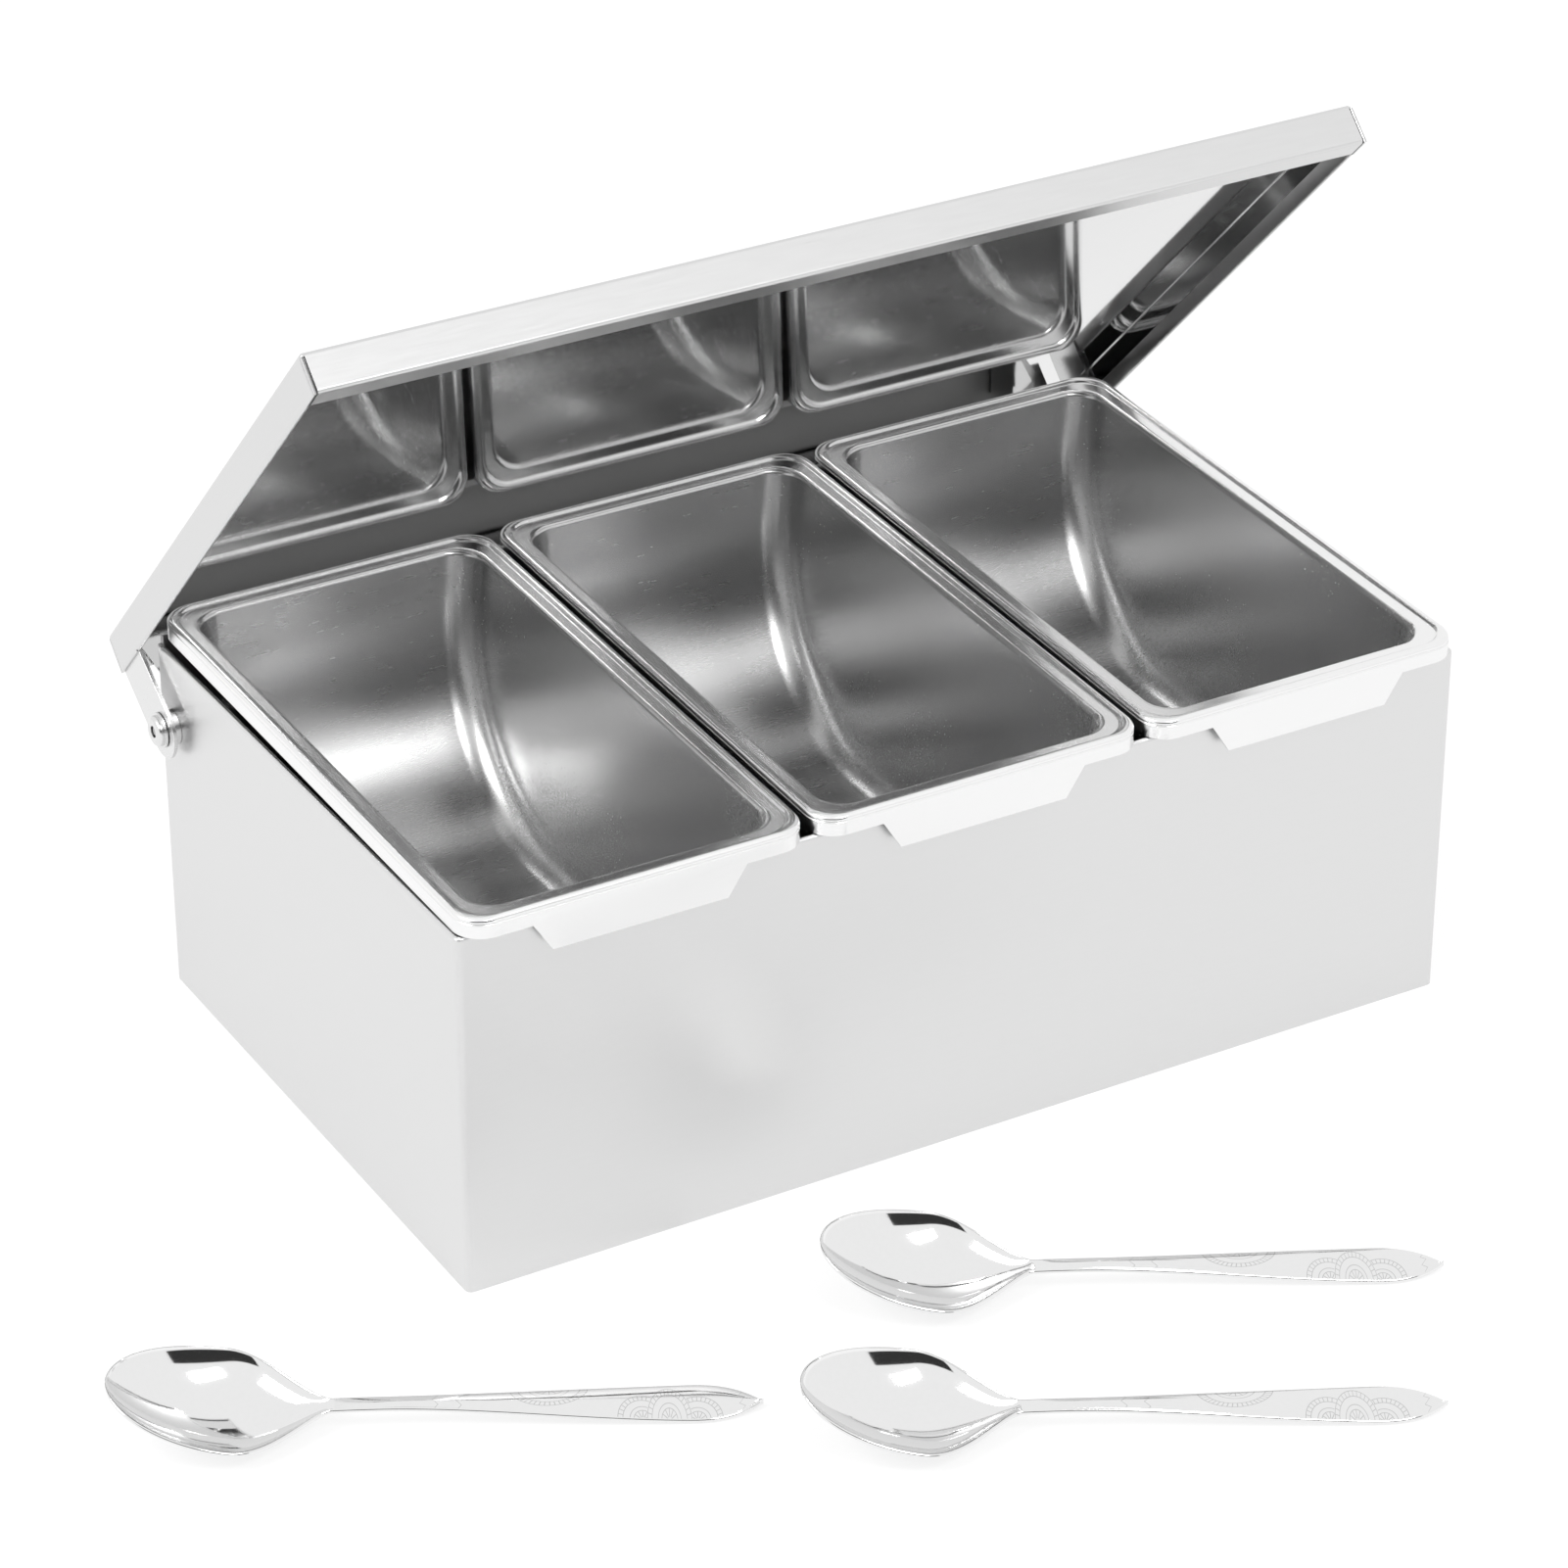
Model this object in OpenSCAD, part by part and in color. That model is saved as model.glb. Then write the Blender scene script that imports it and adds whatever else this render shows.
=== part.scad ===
// Condiment caddy of folded stainless sheet: an open box, three lift-out pans hanging by
// their rims, a shallow tray lid on two riveted side arms, and three serving spoons beside it.
// Millimetres. Origin: middle of the box's underside. +X right, +Y to the back, +Z up.
// The lid is drawn open; it turns about a line through both rivets.

/* [Box] */
// Outside width of the box, left to right
body_w = 320; // [280:1:380]
// Outside depth of the box, front to back
body_d = 189; // [170:1:230]
// Height of the box walls
body_h = 112; // [100:1:140]
// Thickness of the box sheet
body_sheet = 1; // [0.8:0.1:1.4]
// Outside bend radius at the two front corners
corner_bend = 2; // [1.5:0.1:4]
// Height of the fold along the top of the front and side walls
top_fold_h = 6; // [4:0.5:10]
// Width of the strips that the side walls turn in behind the box
rear_return_w = 10; // [6:0.5:16]
// Height of the flanges that stand up round the bottom plate
tray_flange_h = 10; // [6:0.5:16]
// How much higher the back panel stands than the other walls
back_rise = 3.8; // [2:0.1:5]
// Drop of the lid's turning line below the tops of the walls
pivot_drop = 22.5; // [20:0.5:32]
// Distance of the lid's turning line from the back face of the box
pivot_back = 9.6; // [8:0.1:12]

/* [Pans] */
// Number of pans side by side
pan_count = 3; // [2:1:4]
// Gap between neighbouring pans
pan_gap = 2.8; // [2:0.1:6]
// How far the outer pans' rims stay inside the side faces of the box
pan_side_inset = 1.1; // [0.6:0.1:2]
// How far the pan rims reach beyond the front face of the box
pan_front_reach = 4; // [1.8:0.1:5]
// How far the pan rims reach beyond the back face of the box
pan_rear_reach = 0.6; // [0.2:0.1:1.5]
// Clearance between the pan skirts and the tops of the walls that carry them
skirt_seat = 0.2; // [0.1:0.05:0.4]
// Thickness of the pan sheet
pan_sheet = 0.8; // [0.6:0.1:1]
// Height of the turned-down skirt, bead included
pan_skirt_h = 6.1; // [4.8:0.1:6.6]
// Radius of the rolled bead round the rim
bead_r = 1.4; // [1.2:0.1:1.9]
// Width of the rim from its outer edge to the inside wall
rim_w = 7.2; // [6.5:0.1:9]
// Radius of the rim's outer corners
rim_corner_r = 8.5; // [7:0.5:14]
// Drop of the flat rim below the top of the bead
flange_drop = 0.9; // [0.5:0.1:1.2]
// Radius of the lip where the rim turns down into the pan
lip_r = 1.6; // [1.2:0.1:2]
// Inside depth of a pan from the flat rim
pan_depth = 76; // [60:1:90]
// Radius of the sweep from each end wall to the bottom
sweep_r = 65; // [45:1:70]
// Radius between the side walls and the ends and bottom
side_r = 9; // [7:0.5:14]
// Inward lean of the side walls per unit of depth
side_lean = 0.08; // [0.02:0.01:0.12]
// Width of the pull tab where it leaves the skirt
tab_top_w = 64.5; // [50:0.5:75]
// Width of the pull tab at its lower edge
tab_low_w = 53; // [40:0.5:60]
// Height of the pull tab below the skirt
tab_h = 9; // [6:0.5:12]

/* [Lid] */
// Opening of the lid from level, in degrees
lid_open = 46.2; // [0:0.2:115]
// Thickness of the lid sheet
lid_sheet = 0.7; // [0.6:0.1:0.9]
// Overhang of the lid beyond each side of the box
lid_side_reach = 4.75; // [4.4:0.05:8]
// Overhang of the lid beyond the front of the box
lid_front_reach = 14.4; // [12:0.2:20]
// Overhang of the lid beyond the back of the box
lid_rear_reach = 3.4; // [3:0.1:6]
// Height of the lid skirts
lid_skirt_h = 12; // [9:0.5:16]
// Clearance between the lid's inside and the pan rims as it swings over them
lid_clear = 0.35; // [0.3:0.05:1]
// Width of the strip turned in under the front skirt
lid_return_w = 8; // [5:0.5:9]
// Height of the flat fold inside the side skirts
lid_fold_h = 5; // [3:0.5:8]
// Length of the notch at each front corner
corner_notch = 1.4; // [1:0.1:2]
// Gap between each end of the rear skirt and the hinge arm beside it
rear_skirt_gap = 4.5; // [3:0.1:8]
// Height of the strip inside the rear skirt, which hides the gap behind the pans
rear_strip_h = 20; // [14:0.5:21]
// Lean of the rear strip's ends inwards, in degrees
rear_strip_lean = 17; // [0:1:30]

/* [Hinges] */
// Thickness of the hinge arms
arm_t = 1.2; // [1:0.1:1.5]
// Radius of the rounded lower end of the arms
arm_end_r = 8.6; // [7:0.1:9.2]
// Width of the arms where they join the lid
arm_root_w = 16.8; // [12:0.2:20]
// Radius of the rivet shank
shank_r = 2.4; // [2:0.1:3]
// Radial clearance of the arm's hole round the shank
pivot_clear = 0.06; // [0.02:0.01:0.1]
// Clearance on each face of the arm
face_clear = 0.15; // [0.1:0.05:0.3]
// Radius of the rivet head
head_r = 4.6; // [4:0.1:5.5]
// Height of the rivet head
head_h = 1.9; // [1.4:0.1:2.6]
// Radius of the washers and spacers
washer_r = 5.3; // [5:0.1:6.5]
// Thickness of the washers
washer_t = 0.8; // [0.6:0.1:1.2]
// Radius of the pin left in the middle of the rivet
pin_r = 1.1; // [0.8:0.1:1.3]

/* [Spoons] */
// Overall length of a spoon
spoon_l = 171; // [150:0.5:200]
// Half width of the bowl
bowl_half_w = 18.8; // [16:0.2:22]
// Distance from the bowl's tip to its widest place
bowl_wide_at = 31; // [26:0.5:36]
// Distance from the bowl's tip to the narrow neck
neck_at = 58; // [54:1:70]
// Half width of the neck
neck_half_w = 2.4; // [2:0.1:3.5]
// Half width of the handle's broad end
handle_half_w = 6.5; // [5:0.1:8]
// Length of the handle's pointed end
handle_tip_l = 21; // [12:1:30]
// Depth of the bowl
bowl_depth = 9; // [6:0.5:10]
// Thickness of the spoon metal
spoon_t = 1.4; // [1.2:0.1:1.8]
// Sideways tilt at which the spoons lie, in degrees
spoon_roll = 12; // [0:1:18]

/* [Hidden] */

$fn = 64;
// extra reach of cutting shapes past the faces that they cut
cut = 1;
// least gap between neighbouring pieces that are not fastened together
seat_gap = 0.3;

// half sizes and inside faces of the box
half_w = body_w / 2;
half_d = body_d / 2;
inner_x = half_w - body_sheet;
fold_x = inner_x - body_sheet;
back_face = half_d - 2 * body_sheet;
back_top = body_h + back_rise;
pivot_y = half_d - pivot_back;
pivot_h = body_h - pivot_drop;

// pan rims: one frame for each pan with its origin at the middle of the rim's front edge,
// level with the top of the bead, and turned up by the slope from the front wall to the back panel
pan_w = (body_w - 2 * pan_side_inset - (pan_count - 1) * pan_gap) / pan_count;
pan_pitch = pan_w + pan_gap;
rim_front_y = -half_d - pan_front_reach;
rim_back_y = half_d + pan_rear_reach;
rim_front_z = body_h + skirt_seat + pan_skirt_h;
rim_slope = atan(back_rise / (half_d + back_face));
pan_l = (rim_back_y - rim_front_y) / cos(rim_slope);
flat_low = flange_drop + pan_sheet;

// lid: the top of the sheet clears the round bead at the back of the pans as it swings past
bead_y = rim_back_y - bead_r - pivot_y;
bead_z = rim_front_z + (rim_back_y - bead_r - rim_front_y) * tan(rim_slope) - bead_r - pivot_h;
lid_top = sqrt(bead_y * bead_y + bead_z * bead_z) + bead_r + lid_clear + lid_sheet;
lid_half_w = half_w + lid_side_reach;
lid_front = pivot_y + half_d + lid_front_reach;
lid_back = pivot_back + lid_rear_reach;
lid_low = lid_top - lid_skirt_h;
arm_out = lid_half_w - lid_sheet;
arm_in = arm_out - arm_t;
rear_half = arm_in - rear_skirt_gap;

// the six corners of each round bend in the pans, and the stations down the end sweep
bend_steps = 5;
sweep_steps = 6;

// Box

// flat outline of the wrapped sheet: front wall, side walls and the strips behind
module wrap_outline(inset) {
    r = max(corner_bend - inset, 0.2);
    hull() {
        for (sx = [-1, 1])
            translate([sx * (half_w - inset - r), -half_d + inset + r]) circle(r);
        translate([-(half_w - inset), half_d - inset - 1]) square([2 * (half_w - inset), 1]);
    }
}

module body_shell() {
    rear_gap = 2 * (half_w - rear_return_w);
    color([0.80, 0.81, 0.82]) difference() {
        union() {
            linear_extrude(body_h) difference() {
                wrap_outline(0);
                wrap_outline(body_sheet);
            }
            // the fold along the top of the front and side walls
            translate([0, 0, body_h - top_fold_h]) linear_extrude(top_fold_h) difference() {
                wrap_outline(body_sheet);
                wrap_outline(2 * body_sheet);
                translate([-body_w, back_face - body_sheet - seat_gap]) square([2 * body_w, body_d]);
            }
        }
        // the open middle of the back, where the back panel shows
        translate([-rear_gap / 2, half_d - body_sheet - cut / 2, -cut])
            cube([rear_gap, body_sheet + cut, body_h + 2 * cut]);
        pivot_axis() translate([0, 0, -body_w]) cylinder(r = shank_r + pivot_clear, h = 2 * body_w);
    }
}

// the back panel, with its own fold along the top that carries the pans' rear corners
module back_panel() {
    color([0.78, 0.79, 0.80]) union() {
        translate([-inner_x, back_face, 0]) cube([2 * inner_x, body_sheet, back_top]);
        translate([-inner_x, back_face - body_sheet, back_top - top_fold_h])
            cube([2 * inner_x, body_sheet, top_fold_h]);
    }
}

// flat plate with four flanges standing up inside the walls
module bottom_plate() {
    r = max(corner_bend - body_sheet, 0.2);
    color([0.72, 0.73, 0.74]) difference() {
        linear_extrude(tray_flange_h) difference() {
            wrap_outline(body_sheet);
            translate([-body_w, back_face]) square([2 * body_w, body_d]);
        }
        translate([-fold_x, -half_d + 2 * body_sheet, body_sheet])
            cube([2 * fold_x, back_face - body_sheet + half_d - 2 * body_sheet, tray_flange_h]);
    }
}

// Lid

// the lid's own frame: level when closed, turned open about the line through the rivets
module lid_frame() {
    translate([0, pivot_y, pivot_h]) rotate([-lid_open, 0, 0]) children();
}

module lid_shell() {
    depth = lid_front + lid_back;
    fold_from = -lid_front + lid_return_w + lid_sheet;
    fold_to = lid_back - 1.2 - arm_root_w - seat_gap;
    color([0.86, 0.87, 0.88]) lid_frame() {
        difference() {
            translate([-lid_half_w, -lid_front, lid_low]) cube([2 * lid_half_w, depth, lid_skirt_h]);
            translate([-lid_half_w + lid_sheet, -lid_front + lid_sheet, lid_low - cut])
                cube([2 * (lid_half_w - lid_sheet), depth - 2 * lid_sheet, lid_skirt_h - lid_sheet + cut]);
            // the rear skirt stops short of the hinge arms
            for (sx = [-1, 1])
                translate([sx * (rear_half + lid_half_w) / 2 - (lid_half_w - rear_half) / 2,
                    lid_back - lid_sheet, lid_low - cut])
                    cube([lid_half_w - rear_half, lid_sheet + cut, lid_skirt_h - lid_sheet + cut]);
            // the notch at each front corner
            for (sx = [-1, 1])
                translate([sx * (lid_half_w - lid_sheet / 2) - corner_notch / 2,
                    -lid_front - corner_notch / 2, lid_low - cut])
                    cube([corner_notch, 2 * corner_notch, corner_notch + cut]);
        }
        // the strip turned in under the front skirt
        translate([-lid_half_w + lid_sheet + corner_notch, -lid_front, lid_low])
            cube([2 * (lid_half_w - lid_sheet - corner_notch), lid_return_w, lid_sheet]);
        // the flat folds inside the side skirts
        for (sx = [-1, 1])
            translate([sx * (lid_half_w - 1.5 * lid_sheet) - lid_sheet / 2, fold_from, lid_low])
                cube([lid_sheet, fold_to - fold_from, lid_fold_h]);
    }
}

// strip fixed to the inside of the rear skirt; it reaches lower and narrows to its free edge
module lid_rear_strip() {
    drop = rear_strip_h - lid_sheet;
    foot_half = rear_half - drop * tan(rear_strip_lean);
    color([0.84, 0.85, 0.86]) lid_frame()
        translate([0, lid_back - lid_sheet, lid_top - rear_strip_h]) rotate([90, 0, 0]) linear_extrude(lid_sheet)
            polygon([[-foot_half, 0], [foot_half, 0], [rear_half, drop], [-rear_half, drop]]);
}

// the line through both rivets, along X
module pivot_axis() {
    translate([0, pivot_y, pivot_h]) rotate([0, 90, 0]) children();
}

// arm drawn in the lid's frame, on the right-hand side: a round end about the rivet and a
// plate that runs up inside the side skirt to the lid's sheet
module hinge_arm() {
    root_back = lid_back - 1.2;
    root_front = root_back - arm_root_w;
    root_top = lid_top - lid_sheet;
    lid_frame() difference() {
        union() {
            translate([arm_in, 0, 0]) rotate([0, 90, 0]) cylinder(r = arm_end_r, h = arm_t);
            translate([arm_in, 0, 0]) rotate([90, 0, 90]) linear_extrude(arm_t)
                polygon([
                    [0, -arm_end_r * 0.7],
                    [arm_end_r - 0.1, 0],
                    [root_back, lid_low],
                    [root_back, root_top],
                    [root_front, root_top],
                    [root_front, lid_low],
                    [0.1 - arm_end_r, 0]]);
        }
        translate([arm_in - cut, 0, 0]) rotate([0, 90, 0])
            cylinder(r = shank_r + pivot_clear, h = arm_t + 2 * cut);
    }
}

module hinge_arm_right() { color([0.84, 0.85, 0.86]) hinge_arm(); }

module hinge_arm_left() { color([0.84, 0.85, 0.86]) mirror([1, 0, 0]) hinge_arm(); }

// Pivots, drawn on the right-hand side

module ring(r, bore, low, high) {
    pivot_axis() translate([0, 0, low]) difference() {
        cylinder(r = r, h = high - low);
        translate([0, 0, -cut]) cylinder(r = bore, h = high - low + 2 * cut);
    }
}

washer_low = arm_out + face_clear;
head_low = washer_low + washer_t;
backing_low = inner_x - washer_t;
tail_l = 3;
tail_r = 3.7;
head_edge = 0.5;
bore_slack = 0.05;

module rivet() {
    pivot_axis() difference() {
        union() {
            translate([0, 0, backing_low - tail_l]) cylinder(r = tail_r, h = tail_l);
            translate([0, 0, backing_low - 0.01]) cylinder(r = shank_r, h = head_low - backing_low + 0.02);
            translate([0, 0, head_low]) cylinder(r = head_r, h = head_h - head_edge);
            translate([0, 0, head_low + head_h - head_edge])
                cylinder(r1 = head_r, r2 = head_r - head_edge, h = head_edge);
        }
        translate([0, 0, backing_low - tail_l - cut])
            cylinder(r = pin_r + bore_slack, h = head_low + head_h - backing_low + tail_l + 2 * cut);
    }
}

module rivet_pin() {
    pin_low = backing_low - tail_l - 0.6;
    pin_high = head_low + head_h - 0.6;
    pivot_axis() translate([0, 0, pin_low]) cylinder(r = pin_r, h = pin_high - pin_low);
}

module rivet_right() { color([0.75, 0.76, 0.77]) rivet(); }

module rivet_left() { color([0.75, 0.76, 0.77]) mirror([1, 0, 0]) rivet(); }

module rivet_pin_right() { color([0.55, 0.56, 0.57]) rivet_pin(); }

module rivet_pin_left() { color([0.55, 0.56, 0.57]) mirror([1, 0, 0]) rivet_pin(); }

module outer_washer() { ring(washer_r, shank_r + bore_slack, washer_low, head_low); }

module outer_washer_right() { color([0.80, 0.81, 0.82]) outer_washer(); }

module outer_washer_left() { color([0.80, 0.81, 0.82]) mirror([1, 0, 0]) outer_washer(); }

module spacer() { ring(washer_r, shank_r + bore_slack, half_w, arm_in - face_clear); }

module spacer_right() { color([0.65, 0.66, 0.67]) spacer(); }

module spacer_left() { color([0.65, 0.66, 0.67]) mirror([1, 0, 0]) spacer(); }

module backing_washer() { ring(washer_r, shank_r + bore_slack, backing_low, inner_x); }

module backing_washer_right() { color([0.70, 0.71, 0.72]) backing_washer(); }

module backing_washer_left() { color([0.70, 0.71, 0.72]) mirror([1, 0, 0]) backing_washer(); }

// Pans

// closed loop round the rim, inset from its outer edge, at the height z; the corner radius
// passes from that of the rim's outer edge to that of the inside walls
function rim_loop(inset, z) = let(
        r = rim_corner_r + (side_r - rim_corner_r) * min(inset / rim_w, 1), x = pan_w / 2 - inset - r)
    [for (c = [[1, pan_l - inset - r, 0], [-1, pan_l - inset - r, 90], [-1, inset + r, 180], [1, inset + r, 270]])
        for (k = [0:bend_steps]) let(a = c[2] + 90 * k / bend_steps)
            [c[0] * x + r * cos(a), c[1] + r * sin(a), z]];

// closed loop round the inside at one station of the end sweep, a degrees down from upright.
// The loop dips along the end walls and runs higher along the side walls, because the round
// edge between them stands square to the sweep. thick is the sheet's thickness outside it.
function tub_loop(a, drop, thick) = let(
        centre_y = rim_w + sweep_r, centre_z = -flange_drop - pan_depth + sweep_r, R = sweep_r + thick,
        r = side_r + thick)
    [for (c = [[1, 1, 0], [-1, 1, 1], [-1, -1, 0], [1, -1, 1]])
        for (k = [0:bend_steps]) let(
            b = c[2] == 0 ? 90 * k / bend_steps : 90 - 90 * k / bend_steps,
            inward = r * (1 - sin(b)), reach = R - inward,
            y = centre_y - reach * cos(a), z = centre_z + drop - reach * sin(a),
            x = pan_w / 2 - rim_w + thick - side_lean * max(-flange_drop - z, 0) - r * (1 - cos(b)))
            [c[0] * x, c[1] > 0 ? pan_l - y : y, z]];

// the sweep's upright part starts under the lip, and the rest turns through 90 degrees
function tub_loops(thick) = concat(
    [tub_loop(0, sweep_top, thick)],
    [for (k = [0:sweep_steps]) tub_loop(90 * k / sweep_steps, 0, thick)]);

sweep_top = pan_depth - sweep_r - lip_r;
// depth of the crease between the bead and the skirt
crease = 0.3;

// from the skirt's lower edge outside, over the bead and down inside the pan
inside_loops = concat(
    [rim_loop(0, -pan_skirt_h), rim_loop(0, -bead_r - 2 * crease), rim_loop(crease, -bead_r - crease)],
    [for (a = [0, 45, 90]) rim_loop(bead_r * (1 - cos(a)), bead_r * (sin(a) - 1))],
    [rim_loop(2 * bead_r - 0.3, -flange_drop * 0.6), rim_loop(2 * bead_r + 0.4, -flange_drop)],
    [for (a = [0, 45]) rim_loop(rim_w - lip_r + lip_r * sin(a), -flange_drop - lip_r * (1 - cos(a)))],
    tub_loops(0));

// the same course on the sheet's other face
outside_loops = concat(
    [rim_loop(pan_sheet, -pan_skirt_h), rim_loop(pan_sheet, -bead_r - 2 * crease),
        rim_loop(pan_sheet + crease, -bead_r - crease)],
    [for (a = [0, 45, 90]) rim_loop(pan_sheet + (bead_r - pan_sheet) * (1 - cos(a)),
        -pan_sheet + (bead_r - pan_sheet) * (sin(a) - 1))],
    [rim_loop(2 * bead_r - 0.5, -flange_drop * 0.6 - pan_sheet), rim_loop(2 * bead_r + 0.4, -flat_low)],
    [for (a = [0, 45]) rim_loop(rim_w - lip_r + (lip_r - pan_sheet) * sin(a),
        -flange_drop - lip_r + (lip_r - pan_sheet) * cos(a))],
    tub_loops(pan_sheet));

// triangles between two loops of n points, the first starting at a and the second at b
function band(a, b, n) = [for (i = [0:n - 1]) let(j = (i + 1) % n) each [[a + i, a + j, b + j], [a + i, b + j, b + i]]];

// triangles across the last loop, joining each point behind the middle to the one before it
function floor_faces(a, n) = [for (i = [0:n / 2 - 2]) each
    [[a + i, a + i + 1, a + n - 2 - i], [a + i, a + n - 2 - i, a + n - 1 - i]]];

function flipped(faces) = [for (f = faces) [f[2], f[1], f[0]]];

module pan() {
    n = 4 * (bend_steps + 1);
    m = len(inside_loops);
    points = [for (l = concat(inside_loops, outside_loops)) each l];
    faces = concat(
        [for (i = [0:m - 2]) each flipped(band(i * n, (i + 1) * n, n))],
        [for (i = [0:m - 2]) each band((m + i) * n, (m + i + 1) * n, n)],
        band(0, m * n, n),
        flipped(floor_faces((m - 1) * n, n)),
        floor_faces((2 * m - 1) * n, n));
    polyhedron(points, faces);
}

// pull tab hanging from the front skirt, in the skirt's plane
module pull_tab() {
    overlap = pan_skirt_h - bead_r - 3 * crease;
    translate([0, pan_sheet, -pan_skirt_h]) rotate([90, 0, 0]) linear_extrude(pan_sheet)
        polygon([[-tab_top_w / 2, overlap], [-tab_top_w / 2, 0], [-tab_low_w / 2, -tab_h],
            [tab_low_w / 2, -tab_h], [tab_top_w / 2, 0], [tab_top_w / 2, overlap]]);
}

// pan number i, counted from the left
module placed_pan(i) {
    translate([(i - (pan_count - 1) / 2) * pan_pitch, rim_front_y, rim_front_z])
        rotate([rim_slope, 0, 0]) union() {
            pan();
            pull_tab();
        }
}

module pan_left() { color([0.62, 0.63, 0.64]) placed_pan(0); }

module pan_middle() { color([0.62, 0.63, 0.64]) placed_pan((pan_count - 1) / 2); }

module pan_right() { color([0.62, 0.63, 0.64]) placed_pan(pan_count - 1); }

// Spoons

// smooth step from 0 to 1
function ease(t) = let(c = min(max(t, 0), 1)) c * c * (3 - 2 * c);

// half width of the spoon at the distance u from the bowl's tip: a half ellipse, a round fall
// to the neck, a slow swell along the handle and a leaf-shaped point
function spoon_half_w(u) =
    u < bowl_wide_at ? bowl_half_w * sqrt(max(1 - pow(1 - u / bowl_wide_at, 2), 0)) :
    u < neck_at ? neck_half_w + (bowl_half_w - neck_half_w)
        * pow((1 + cos(180 * (u - bowl_wide_at) / (neck_at - bowl_wide_at))) / 2, 0.7) :
    let(swell = neck_half_w + (handle_half_w - neck_half_w)
        * ease((u - 1.2 * neck_at) / (0.94 * spoon_l - 1.2 * neck_at)))
    u < spoon_l - handle_tip_l ? swell : swell * (1 - pow((u - spoon_l + handle_tip_l) / handle_tip_l, 2.8));

// depth of the hollow across the spoon at u: the bowl's dish, and a slight crown on the handle
function spoon_dish(u) = u < neck_at ?
    bowl_depth * pow(sin(180 * pow(u / neck_at, 0.8)), 0.9) : -0.5 * ease((u - neck_at) / 20);

// height of the spoon's edge at u: it sinks along the handle and rises towards the bowl's tip
neck_z = 8.2;
handle_fall = 6;
bowl_rise = 12.5;
function spoon_edge(u) = neck_z - handle_fall * ease((u - neck_at) / (spoon_l - neck_at))
    + bowl_rise * pow(max(1 - u / (0.9 * neck_at), 0), 1.45);

spoon_steps = 36;
spoon_across = 5;

// stations along the spoon, close together at both ends
function spoon_at(k) = spoon_l * (1 - cos(180 * (k + 0.35) / (spoon_steps + 0.7))) / 2;

// one face of the spoon: rows of points across it, the lower face is shifted down by drop
function spoon_face(drop) = [for (k = [0:spoon_steps]) let(u = spoon_at(k), w = spoon_half_w(u))
    for (i = [-spoon_across:spoon_across]) let(v = i / spoon_across)
        [u, w * sin(90 * v), spoon_edge(u) - spoon_dish(u) * pow(cos(90 * v), 1.6) - drop]];

module spoon() {
    n = 2 * spoon_across + 1;
    m = spoon_steps + 1;
    low = n * m;
    top = [for (k = [0:m - 2], i = [0:n - 2]) let(a = k * n + i)
        each [[a, a + 1, a + n + 1], [a, a + n + 1, a + n]]];
    side = concat(
        [for (k = [0:m - 2]) let(a = k * n, b = a + n) each [[a, b, b + low], [a, b + low, a + low]]],
        [for (k = [0:m - 2]) let(a = k * n + n - 1, b = a + n) each [[b, a, a + low], [b, a + low, b + low]]],
        [for (i = [0:n - 2]) each [[i + 1, i, i + low], [i + 1, i + low, i + 1 + low]]],
        [for (i = [0:n - 2]) let(a = (m - 1) * n + i) each [[a, a + 1, a + 1 + low], [a, a + 1 + low, a + low]]]);
    faces = concat(top, [for (f = flipped(top)) [for (p = f) p + low]], side);
    polyhedron(concat(spoon_face(0), spoon_face(spoon_t)), faces);
}

// where each spoon's bowl tip lies, measured from the box's front left corner, and the way
// that the handles point; the spoons lie on what the box stands on, clear of it by a seat
spoon_turn = -25.6;
spoon_places = [[-110.4, -10.9], [45, -101.2], [81.7, -48.4]];
spoon_seat = 0.3;

module placed_spoon(i) {
    lowest = min([for (p = spoon_face(spoon_t)) p[1] * sin(spoon_roll) + p[2] * cos(spoon_roll)]);
    translate([spoon_places[i][0] - half_w, spoon_places[i][1] - half_d, spoon_seat - lowest])
        rotate([0, 0, spoon_turn]) rotate([spoon_roll, 0, 0]) spoon();
}

module spoon_left() { color([0.88, 0.89, 0.90]) placed_spoon(0); }

module spoon_right() { color([0.88, 0.89, 0.90]) placed_spoon(1); }

module spoon_rear() { color([0.88, 0.89, 0.90]) placed_spoon(2); }

body_shell();
back_panel();
bottom_plate();
lid_shell();
lid_rear_strip();
hinge_arm_left();
hinge_arm_right();
rivet_left();
rivet_right();
rivet_pin_left();
rivet_pin_right();
outer_washer_left();
outer_washer_right();
spacer_left();
spacer_right();
backing_washer_left();
backing_washer_right();
pan_left();
pan_middle();
pan_right();
spoon_left();
spoon_right();
spoon_rear();
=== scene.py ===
"""Condiment caddy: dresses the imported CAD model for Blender. Metres, in the CAD model's frame.

Origin at the middle of the box's underside, +X right, +Y to the back, +Z up.
"""
import math

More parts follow.
